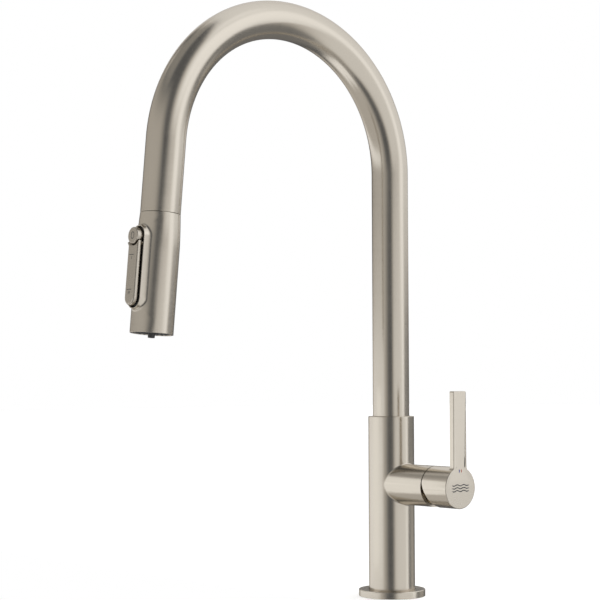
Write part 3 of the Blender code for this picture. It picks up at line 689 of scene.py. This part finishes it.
def make_lever():
    low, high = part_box("lever_handle")
    radius = size_of("lever_handle").y / 2
    front = high.x
    start = low.x
    depth = 60 * MM
    shell_r = 12.6 * MM
    boss_r = 6.8 * MM
    hub = cap_lathe("lever", [(0, front, 0), (radius, front, 0), (radius, start, 0),
                              (shell_r, start, 0), (shell_r, depth, 0), (boss_r, depth, 0),
                              (boss_r, 53 * MM, 0), (0, 53 * MM, 0)], arm_place, steps=128)
    blade = slab("blade", blade_outline(radius, -(high.z - arm_z)), front - BLADE_THICKNESS,
                 front, arm_place)
    boolean(hub, blade, "UNION")
    pivot = joints["lever_tilt"]["pos_m"][0]
    relief = mesh_object("relief", [], [])
    with editing(relief) as shape:
        bmesh.ops.create_cube(shape, size=1)
    size = Vector((4 * radius, 4 * radius, 2 * radius))
    relief.data.transform(arm_place @ Matrix.Translation((0, 0, pivot))
                          @ Matrix.Rotation(-radians(LEVER_TILT), 4, "Y")
                          @ Matrix.Translation((0, 0, RELIEF_DISTANCE - size.z / 2))
                          @ Matrix.Diagonal((*size, 1)))
    boolean(hub, relief, "DIFFERENCE")
    round_front(hub, front, FRONT_EDGE)
    bevel(hub, 0.3 * MM, 3, 50.0)
    weighted(hub)
    dress(hub, "lever", nickel_plain, "lever_handle")


def ribbon(name, points, width, place, low, high):
    """A thin raised line along flat points in a frame's XY plane."""
    half = width / 2
    rows = []
    for i, point in enumerate(points):
        here = Vector(point)
        ahead = Vector(points[min(i + 1, len(points) - 1)]) - Vector(points[max(i - 1, 0)])
        side = Vector((-ahead.y, ahead.x)).normalized() * half
        corners = ((here + side, high), (here - side, high), (here - side, low),
                   (here + side, low))
        rows.append([place @ Vector((*flat, z)) for flat, z in corners])
    return closed_tube(name, rows)


def make_lever_marks():
    """Cold and hot marks, and a plain wave emblem, on the lever's front."""
    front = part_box("lever_handle")[1].x
    for name, material, side in (("cold_mark", blue, -1), ("hot_mark", red, 1)):
        low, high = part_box(name)
        middle = (low + high) / 2
        outline = rounded_box(arm_z - middle.z, middle.y, 1.1 * MM, 0.45 * MM, 0.3 * MM, 4)
        mark = slab(name + "_inlay", outline, front - 0.5 * MM, front + PROUD, arm_place)
        smooth(mark)
        dress(mark, "lever", material, name, slot="cold_blue" if side < 0 else "hot_red")
    waves = []
    half = 8.4 * MM
    count = 48
    for row, shift in enumerate((-2.1 * MM, 0.0, 2.1 * MM)):
        route = [(shift + 0.45 * MM * sin(5 * pi * i / count),
                  half * (2 * i / count - 1)) for i in range(count + 1)]
        waves.append(ribbon(f"wave_{row}", route, 0.75 * MM, arm_place, front - MARK_SINK,
                            front + PROUD))
    emblem = join("wave_emblem", waves)
    smooth(emblem)
    dress(emblem, "lever", etched)


# -------- spout


def pipe_loop(centre, tangent, radius, sides):
    """A circle of points round the pipe's middle line."""
    side = Vector((1, 0, 0))
    other = tangent.cross(side)
    return [centre + (side * cos(2 * pi * k / sides) + other * sin(2 * pi * k / sides)) * radius
            for k in range(sides)]


def arch_stations(steps):
    """Points of the arch's middle line, each with its direction."""
    return [(Vector((0, arch_r * (cos(a) - 1), arch_start + arch_r * sin(a))),
             Vector((0, -sin(a), cos(a)))) for a in (arch_sweep * i / steps
                                                     for i in range(steps + 1))]


def make_pipe():
    """Riser, arch and leg as one bent tube with a real wall."""
    wall = 1.6 * MM
    stations = []
    riser_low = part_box("spout_foot")[0].z + RISER_FOOT
    riser_steps = 12
    for i in range(riser_steps):
        z = riser_low + (arch_start - riser_low) * i / riser_steps
        stations.append((Vector((0, 0, z)), Vector((0, 0, 1))))
    stations += arch_stations(120)
    end = stations[-1][0]
    leg_steps = 6
    for i in range(1, leg_steps + 1):
        stations.append((end + leg_down * leg_length * i / leg_steps, leg_down))
    edge = 0.25 * MM
    rows = []
    along = [0.0]
    lips = 4
    centre, tangent = stations[-1]
    for here, ahead in stations[:-1] + [(centre - tangent * edge, tangent)]:
        rows.append(pipe_loop(here, ahead, pipe_r, ROUND))
    for k in range(1, lips + 1):
        a = pi / 2 * k / lips
        rows.append(pipe_loop(centre - tangent * edge * (1 - sin(a)), tangent,
                              pipe_r - edge * (1 - cos(a)), ROUND))
    rows += [pipe_loop(here, ahead, pipe_r - wall, ROUND) for here, ahead in reversed(stations)]
    for i in range(len(rows)):
        ahead = rows[(i + 1) % len(rows)]
        along.append(along[-1] + (sum(ahead, Vector()) / ROUND
                                  - sum(rows[i], Vector()) / ROUND).length)
    pipe = grid("gooseneck", rows, closed_rows=True, along=along)
    face_outwards(pipe)
    weighted(pipe)
    dress(pipe, "spout", nickel, "spout_tube")


def make_hose():
    """Spray hose: one run fixed in the spout, and a straight end along the leg into the head."""
    radius = size_of("spray_hose").x / 2
    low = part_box("spray_hose")[0].z
    riser = [(Vector((0, 0, low + (arch_start - low) * i / 16)), Vector((0, 0, 1)))
             for i in range(16)]
    fixed = closed_tube("hose_run", [pipe_loop(*station, radius, HOSE_SIDES)
                                     for station in riser + arch_stations(64)])
    smooth(fixed)
    dress(fixed, "spout", hose_sleeve, "spray_hose", slot="hose_braid")

    top = seam - leg_down * (leg_length - 0.5 * MM)
    bottom = seam + leg_down * 3.5 * MM
    pieces = 90
    rows = [pipe_loop(top.lerp(bottom, i / pieces), leg_down, radius, HOSE_SIDES)
            for i in range(pieces + 1)]
    moving = closed_tube("hose_end", rows)
    smooth(moving)
    paint(moving, hose_sleeve)
    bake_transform(moving)


def closed_tube(name, rows):
    """A tube over loops of points, with flat ends."""
    count = len(rows[0])
    made = grid(name, rows)
    total = len(rows) * count
    with editing(made) as shape:
        shape.verts.ensure_lookup_table()
        shape.faces.new([shape.verts[i] for i in reversed(range(count))])
        shape.faces.new([shape.verts[i] for i in range(total - count, total)])
        bmesh.ops.recalc_face_normals(shape, faces=shape.faces)
    return made


# -------- spray head


def head_radius(down):
    """Outer radius of the spray head."""
    part = min(max(down, 0) / HEAD_FLARE, 1)
    return pipe_r + (HEAD_R - pipe_r) * sin(part * pi / 2)


def head_surface(x, down, inset=0.0):
    """Distance out of the head's skin at a sideways place, less a wall thickness."""
    radius = head_radius(down) - inset
    return (max(radius * radius - x * x, 0)) ** 0.5


PATCH_ANGLE = radians(62)
PATCH_TOP = 4.0 * MM
PATCH_BOTTOM = 74.0 * MM
SIDE_STEPS = 56
CROSS_STEPS = 28
BACK_STEPS = 60
RIM_CREST = 0.5 * MM                # width of the rim's flat crest
RIM_ROUND = 0.5 * MM
RIM_DRAFT = radians(9)              # slope of its wall
RIM_HOLLOW = 4.8 * MM               # radius of the hollow at the wall's foot


def patch_border():
    """The border of the skin's patch round the panel, as (angle, down) pairs in a loop."""
    corners = [(-PATCH_ANGLE, PATCH_TOP), (PATCH_ANGLE, PATCH_TOP),
               (PATCH_ANGLE, PATCH_BOTTOM), (-PATCH_ANGLE, PATCH_BOTTOM)]
    border = []
    for k, steps in enumerate((CROSS_STEPS, SIDE_STEPS) * 2):
        (a, down), (b, lower) = corners[k], corners[(k + 1) % 4]
        border += [(a + (b - a) * i / steps, down + (lower - down) * i / steps)
                   for i in range(steps)]
    return border


def towards_window(x, down):
    """The nearest point of the window's middle line, and the direction out from it."""
    high = WINDOW_TOP + WINDOW_HALF
    low = WINDOW_BOTTOM - WINDOW_HALF
    spine = min(max(down, high), low)
    away = Vector((x, down - spine))
    return spine, away.normalized()


def rim_wall():
    """Up the rim's wall, as (distance out from the window, share of the rim's height) pairs."""
    down = Vector((sin(RIM_DRAFT), -cos(RIM_DRAFT)))
    off = Vector((cos(RIM_DRAFT), sin(RIM_DRAFT)))
    crest = Vector((WINDOW_HALF + RIM_CREST, PANEL_RIM - RIM_ROUND))
    middle = crest + Vector((RIM_ROUND / 2, 0)) + off * RIM_HOLLOW
    drop = down.dot(middle)
    reach = HEAD_R + RIM_HOLLOW
    middle -= down * (drop + (drop ** 2 - middle.length_squared + reach ** 2) ** 0.5)
    foot = -middle.normalized()
    sweep = foot.angle_signed(-off)
    places = [middle + Matrix.Rotation(-sweep * i / 10, 2) @ foot * RIM_HOLLOW
              for i in range(11)]
    places += [crest + Vector((RIM_ROUND / 2 * cos(a), RIM_ROUND * sin(a)))
               for a in (pi / 2 * i / 5 for i in range(6))]
    wall = []
    for x, out in places:
        skin = (HEAD_R ** 2 - x ** 2) ** 0.5
        wall.append((x - WINDOW_HALF, (out - skin) / (PANEL_RIM - skin)))
    return wall


def make_head_skin():
    """Shell of the spray head: a flared tube whose skin rises into the panel's soft rim."""
    border = patch_border()
    spread = [towards_window(head_radius(down) * sin(angle), down) for angle, down in border]

    def ring_at(offset, height):
        """A loop round the window. height gives (out) from sideways place and distance down."""
        loop = []
        for spine, away in spread:
            x = away.x * (WINDOW_HALF + offset)
            down = spine + away.y * (WINDOW_HALF + offset)
            loop.append(on_head(x, down, height(x, down)))
        return loop

    def between(reach, share, inset):
        """A loop on the skin, part of the way from the border to the window."""
        loop = []
        for (angle, down), (spine, away) in zip(border, spread):
            foot = Vector((away.x * reach, spine + away.y * reach))
            start = Vector(((head_radius(down) - inset) * sin(angle), down))
            x, lower = start.lerp(foot, share)
            loop.append(on_head(x, lower, head_surface(x, lower, inset)))
        return loop

    def blended(share):
        return lambda x, down: (head_surface(x, down) * (1 - share) + PANEL_RIM * share)

    wall = rim_wall()
    rows = [[on_head(head_radius(d) * sin(a), d, head_radius(d) * cos(a)) for a, d in border]]
    rows += [between(WINDOW_HALF + wall[0][0], share, 0) for share in (0.35, 0.7)]
    for offset, share in wall:
        rows.append(ring_at(offset, blended(share)))
    for i in range(1, 6):
        a = pi / 2 * i / 5
        offset = RIM_CREST * (1 - sin(a))
        drop = RIM_ROUND * (1 - cos(a))
        rows.append(ring_at(offset, lambda x, down, d=drop: PANEL_RIM - d))
    inside = HEAD_WALL
    rows.append(ring_at(0, lambda x, down: head_surface(x, down, inside)))
    rows.append(between(WINDOW_HALF, 0.5, inside))
    rows.append([on_head((head_radius(d) - inside) * sin(a), d,
                         (head_radius(d) - inside) * cos(a)) for a, d in border])
    patch = grid("patch", rows, along=[MM * i for i in range(len(rows) + 1)])

    # The rest of the tube: bands above and below the patch, and the back beside it
    sides = [-PATCH_ANGLE + 2 * PATCH_ANGLE * i / CROSS_STEPS for i in range(CROSS_STEPS)]
    back = [PATCH_ANGLE + (2 * pi - 2 * PATCH_ANGLE) * i / BACK_STEPS for i in range(BACK_STEPS)]
    angles = sides + back
    edge = 0.25 * MM
    support = 0.12 * MM

    def round_loop(down, inset, at=angles):
        radius = head_radius(down) - inset
        return [on_head(radius * sin(a), down, radius * cos(a)) for a in at]

    def rounded(down, towards, order):
        return [round_loop(down + towards * edge * (1 - sin(a)), edge * (1 - cos(a)))
                for a in (pi / 2 * k / 4 for k in order)]

    top = rounded(SEAM_GAP, 1, range(4, -1, -1))
    top += [round_loop(SEAM_GAP + edge + support, 0), round_loop(PATCH_TOP, 0)]
    top = [round_loop(PATCH_TOP, inside), round_loop(SEAM_GAP, inside)] + top
    lip = HEAD_LENGTH
    bottom = [round_loop(PATCH_BOTTOM, 0), round_loop(lip - edge - support, 0)]
    bottom += rounded(lip, -1, range(5))
    bottom += [round_loop(lip, inside - 0.2 * MM), round_loop(lip - 0.2 * MM, inside),
               round_loop(PATCH_BOTTOM, inside)]
    bands = [grid("band_top", top), grid("band_bottom", bottom)]

    downs = [PATCH_TOP + (PATCH_BOTTOM - PATCH_TOP) * i / SIDE_STEPS
             for i in range(SIDE_STEPS + 1)]
    back = back + [2 * pi - PATCH_ANGLE]
    for inset, name in ((0, "back_skin"), (inside, "back_inside")):
        bands.append(grid(name, [round_loop(down, inset, back) for down in downs], along=downs,
                          across=[a * HEAD_R for a in back]))
    skin = join("head_skin", [patch] + bands)
    weld(skin, 0.00002)
    smooth(skin, 50.0)
    dress(skin, "spray_head", nickel_head, "head_shell")


def join(name, pieces):
    """Joins mesh objects into one."""
    shape = bmesh.new()
    for piece in pieces:
        shape.from_mesh(piece.data)
        bpy.data.objects.remove(piece)
    mesh = bpy.data.meshes.new(name)
    shape.to_mesh(mesh)
    shape.free()
    return new_object(name, mesh)


def make_keys():
    """Pause button and spray selector."""
    place = panel_place @ Matrix.Translation((0, -BUTTON_DOWN, 0))
    cup_r = 4.4 * MM
    stem_r = 2.0 * MM
    button = cap_lathe("pause_cap", [(0, BUTTON_FACE, 0), (BUTTON_R, BUTTON_FACE, 0.7 * MM),
                                     (BUTTON_R, KEY_UNDERSIDE, 0.15 * MM),
                                     (cup_r, KEY_UNDERSIDE, 0), (cup_r, CUP_TOP, 0),
                                     (stem_r, CUP_TOP, 0), (stem_r, STEM_END, 0.3 * MM),
                                     (0, STEM_END, 0)], place, SMALL_ROUND)
    weighted(button)
    dress(button, "pause_key", shaded_nickel_keys, "pause_button")

    clear = BUTTON_R + BUTTON_CLEARANCE
    swing = degrees(asin(SELECTOR_HALF / clear))
    upper = arc((0, -BUTTON_DOWN), clear, -90 - swing, -90 + swing, 20)
    lower = arc((0, -SELECTOR_BOTTOM + SELECTOR_HALF), SELECTOR_HALF, 0, -180, 28)
    rocker = slab("selector_cap", upper + lower, KEY_UNDERSIDE, SELECTOR_FACE, panel_place,
                  KEY_ROUNDING, 5)
    weighted(rocker)
    dress(rocker, "selector_key", shaded_nickel_keys, "spray_selector")


def make_spring():
    """Return spring under the button."""
    wire_r = 0.3 * MM
    coil_r = 3.2 * MM
    turns = 3.5
    low = CARRIER_FACE + GAP + wire_r
    high = CUP_TOP - GAP - wire_r
    steps = 98
    sides = 10
    rows = []
    for i in range(steps + 1):
        turned = 2 * pi * turns * i / steps
        out = Vector((cos(turned), sin(turned), 0))
        along = Vector((-sin(turned), cos(turned), (high - low) / (2 * pi * turns * coil_r)))
        across = along.normalized().cross(out)
        middle = Vector((0, -BUTTON_DOWN, low + (high - low) * i / steps)) + out * coil_r
        rows.append([panel_place @ (middle + (out * cos(a) + across * sin(a)) * wire_r)
                     for a in (2 * pi * k / sides for k in range(sides))])
    spring = closed_tube("return_spring", rows)
    smooth(spring, 50.0)
    paint(spring, steel)
    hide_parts("pause_spring")
    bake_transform(spring)


def make_key_marks():
    """Etched signs on the button and the selector."""
    ring_line = rounded_box(0, -BUTTON_DOWN, 1.5 * MM, 2.2 * MM, 1.2 * MM, 8)
    ring_line += ring_line[:2]
    sign = ribbon("pause_sign", ring_line, 0.5 * MM, panel_place, BUTTON_FACE - MARK_SINK,
                  BUTTON_FACE + PROUD)
    smooth(sign)
    dress(sign, "pause_key", etched)

    face = SELECTOR_FACE
    signs = []
    for name, down, strokes in (("stream", 31.05 * MM, ((0.0, 1.2, 3.2),)),
                                ("spray", 55.0 * MM, ((-0.9, 1.0, 3.0), (0.0, 1.0, 3.4),
                                                      (0.9, 1.0, 3.0)))):
        dash = [(-3.3 * MM, -down), (2.3 * MM, -down)]
        signs.append(ribbon(f"{name}_dash", dash, 0.42 * MM, panel_place, face - MARK_SINK,
                            face + PROUD))
        for count, (side, start, end) in enumerate(strokes):
            x = -0.35 * MM + side * MM
            route = [(x, -down - start * MM), (x + side * 0.2 * MM, -down - end * MM)]
            signs.append(ribbon(f"{name}_stroke_{count}", route, 0.35 * MM, panel_place,
                                face - MARK_SINK, face + PROUD))
    signs = join("selector_signs", signs)
    smooth(signs)
    dress(signs, "selector_key", etched)


def make_face():
    """Spray face with its soft jets, and the stream nozzle in the middle."""
    face_low = -(HEAD_LENGTH - FACE_RECESS)
    face_high = face_low + 5 * MM
    outer = HEAD_R - HEAD_WALL - 0.35 * MM
    inner = 4.6 * MM
    plate = lathe("face_plate", [(outer, face_high, 0), (outer, face_low, 0.4 * MM),
                                 (inner, face_low, 0.3 * MM), (inner, face_high, 0)],
                  head_place)
    pieces = [plate]
    for ring_r, count, shift in ((7.0 * MM, 10, 0.0), (10.4 * MM, 15, 0.2)):
        for k in range(count):
            a = 2 * pi * (k + shift) / count
            spot = head_place @ Matrix.Translation((ring_r * cos(a), ring_r * sin(a), face_low))
            pieces.append(cap_lathe(f"jet_{ring_r}_{k}", [
                (0, 0.3 * MM, 0), (0.9 * MM, 0.3 * MM, 0), (0.7 * MM, -0.45 * MM, 0.15 * MM),
                (0.3 * MM, -0.45 * MM, 0), (0.25 * MM, -0.1 * MM, 0), (0, -0.1 * MM, 0)],
                spot, 16, 3))
    face = join("spray_plate", pieces)
    smooth(face)
    dress(face, "spray_head", soft_black, "spray_face", slot="black_plastic")

    bore = 1.2 * MM
    step = face_low + MM
    nozzle = lathe("stream_tip", [(NOZZLE_COLLAR_R, face_high, 0),
                                  (NOZZLE_COLLAR_R, step, 0.3 * MM),
                                  (NOZZLE_R + 0.1 * MM, step, 0.2 * MM),
                                  (NOZZLE_R, -NOZZLE_TIP, 0.3 * MM),
                                  (bore, -NOZZLE_TIP, 0.2 * MM), (bore, face_high, 0)],
                   head_place, 64)
    smooth(nozzle)
    dress(nozzle, "spray_head", soft_black, "stream_nozzle", slot="black_plastic")


# -------- studio


def make_camera():
    data = bpy.data.cameras.new("camera")
    data.lens = LENS_MM
    data.sensor_width = SENSOR_MM
    data.clip_end = 50
    made = new_object("camera", data)
    ahead = Vector((-sin(CAMERA_HEADING) * cos(CAMERA_PITCH),
                    cos(CAMERA_HEADING) * cos(CAMERA_PITCH), sin(CAMERA_PITCH)))
    right = ahead.cross(Vector((0, 0, 1))).normalized()
    up = right.cross(ahead)
    rolled_right = right * cos(CAMERA_ROLL) + up * sin(CAMERA_ROLL)
    rolled_up = up * cos(CAMERA_ROLL) - right * sin(CAMERA_ROLL)
    turn = Matrix((rolled_right, rolled_up, -ahead)).transposed()
    made.matrix_world = Matrix.Translation(CAMERA_PLACE) @ turn.to_4x4()
    bpy.context.scene.camera = made


# Soft panels of light round the object. Each has a level, four angles round from the studio's
# front (turning right, in degrees) and four up from the horizon; it fades between the outer pairs.
DIM = 0.11                          # level of the studio between the panels
PANELS = [
    (0.52, (200, 225, 320, 357), (-75, -55, 4, 10)),  # wash on the left
    (0.50, (200, 225, 328, 378), (4, 9, 20, 60)),  # the same, higher
    (0.30, (214, 240, 300, 340), (30, 50, 95, 96)),  # ceiling on the left
    (0.62, (225, 230, 238, 250), (32, 36, 45, 51)),  # a small window in it
    (1.06, (205, 222, 308, 338), (-12, -8, 0, 4)),  # low strip on the left
    (0.62, (184, 202, 228, 245), (-40, -25, 0, 6)),  # low card behind, left
    (0.81, (0, 25, 72, 106), (-80, -60, 5, 12)),  # wash on the right
    (1.10, (72, 79, 90, 94), (-17, -11, 6, 12)),  # card facing the lever's front
    (1.16, (8, 58, 88, 112), (7, 16, 36, 62)),  # key light, upper right
    (1.14, (46, 74, 88, 112), (-5, 4, 20, 40)),  # its lower part
    (1.04, (30, 53, 92, 118), (35, 48, 62, 78)),  # the same, higher
    (0.92, (36, 80, 154, 168), (1, 5, 95, 96)),  # ceiling, right and behind
    (0.92, (148, 162, 200, 225), (12, 20, 95, 96)),  # the same, further round
    (0.90, (25, 50, 212, 240), (50, 62, 95, 96)),  # the same, overhead
    (0.52, (104, 114, 132, 158), (-10, -8, -5, -2)),  # thin strip behind, right
    (0.22, (80, 100, 180, 200), (-90, -80, 20, 30)),  # low behind, right
    (0.36, (-2, -1, 361, 362), (-96, -95, -70, -55)),  # floor
    (1.12, (195, 215, 305, 335), (-96, -95, -68, -54)),  # floor on the left
    (1.10, (195, 215, 245, 290), (-96, -95, -58, -36)),  # floor on the left, behind
    (0.52, (50, 85, 130, 170), (-96, -95, -70, -55)),  # floor on the right
]
SHADE = (0.97, 1.0, 1.06)           # tints of the darkest, the dimmer and the bright light
WARM = (1.035, 1.0, 0.95)
COOL = (0.995, 1.0, 1.015)


def reflector(name, x, y, low, high, half, turn, level):
    """An upright white card beside the object, seen only in reflections."""
    side = Vector((-sin(turn), cos(turn), 0)) * half
    middle = Vector((x, y, 0))
    corners = [middle - side, middle + side]
    points = [Vector((c.x, c.y, z)) for z, pair in ((low, corners), (high, corners[::-1]))
              for c in pair]
    card = mesh_object(name, points, [(0, 1, 2, 3)])
    material, nodes, shader = new_material(name)
    place = nodes.node("ShaderNodeTexCoord")
    cloud = nodes.noise(place.outputs["Object"], 6.0, 2.0)
    nodes.put(nodes.mix_colour(cloud, rgb(0.97, 0.97, 0.97), rgb(1, 1, 1)),
              shader.inputs["Emission Color"])
    for name, value in (("Base Color", rgb(0, 0, 0)), ("Specular IOR Level", 0.0),
                        ("Emission Strength", level)):
        shader.inputs[name].default_value = value
    paint(card, material)
    for ray in ("camera", "diffuse", "transmission", "shadow"):
        setattr(card, "visible_" + ray, False)


def make_studio():
    """Pale floor, white backdrop and soft panels of light all round."""
    world = bpy.data.worlds.new("studio")
    bpy.context.scene.world = world
    world.use_nodes = True
    nodes = Nodes(world.node_tree)
    background = world.node_tree.nodes["Background"]
    place = nodes.node("ShaderNodeTexCoord")
    turned = nodes.node("ShaderNodeVectorRotate", {"Vector": place.outputs["Generated"],
                                                   "Angle": pi - STUDIO_FRONT},
                        rotation_type="Z_AXIS")
    parts = nodes.node("ShaderNodeSeparateXYZ", (turned.outputs[0],))
    angle = nodes.math("ARCTAN2", parts.outputs["Y"], parts.outputs["X"])
    round_about = nodes.math("MULTIPLY_ADD", angle, 180 / pi, 180.0)
    height = nodes.math("MULTIPLY", nodes.math("ARCSINE", parts.outputs["Z"]), 180 / pi)
    light = DIM
    for level, across, up in PANELS:
        panel = nodes.math("MULTIPLY", nodes.fade(round_about, across), nodes.fade(height, up))
        light = nodes.math("MAXIMUM", light, nodes.math("MULTIPLY", panel, level))
    tint = nodes.mix_colour(nodes.remap(light, 0.12, 0.34, 0.0, 1.0, "SMOOTHSTEP"),
                            rgb(*SHADE), rgb(*WARM))
    tint = nodes.mix_colour(nodes.remap(light, 0.55, 0.95, 0.0, 1.0, "SMOOTHSTEP"),
                            tint, rgb(*COOL))
    lit = nodes.node("ShaderNodeVectorMath", {"Vector": tint, "Scale": light}, operation="SCALE")
    path = nodes.node("ShaderNodeLightPath")
    seen = nodes.mix_colour(path.outputs["Is Camera Ray"], lit.outputs[0], rgb(1, 1, 1))
    nodes.put(seen, background.inputs["Color"])

    material, nodes, shader = new_material("pale_floor")
    place = nodes.node("ShaderNodeTexCoord")
    speck = nodes.noise(place.outputs["Object"], 40.0, 4.0)
    nodes.put(nodes.mix_colour(speck, rgb(0.86, 0.86, 0.855), rgb(0.90, 0.90, 0.895)),
              shader.inputs["Base Color"])
    for name, value in (("Roughness", 0.9), ("Emission Color", rgb(1, 1, 1)),
                        ("Emission Strength", 0.60)):
        shader.inputs[name].default_value = value
    half = FLOOR_SIZE / 2
    floor = mesh_object("floor", [(-half, FLOOR_FRONT, 0), (half, FLOOR_FRONT, 0),
                                  (half, half, 0), (-half, half, 0)], [(0, 1, 2, 3)])
    floor.location = (0, 0, -FLOOR_DROP)
    paint(floor, material)
    floor.visible_glossy = False
    floor.visible_diffuse = False

    reflector("card_left", -0.070, -0.111, 0.0, 0.165, 0.042, radians(40), 1.05)

    bpy.context.scene.view_settings.view_transform = "Standard"
    bpy.context.scene.view_settings.look = "None"


make_camera()
make_studio()
dress_cad()
make_base()
make_arm()
make_lever()
make_lever_marks()
make_pipe()
make_hose()
make_head_skin()
make_keys()
make_spring()
make_key_marks()
make_face()
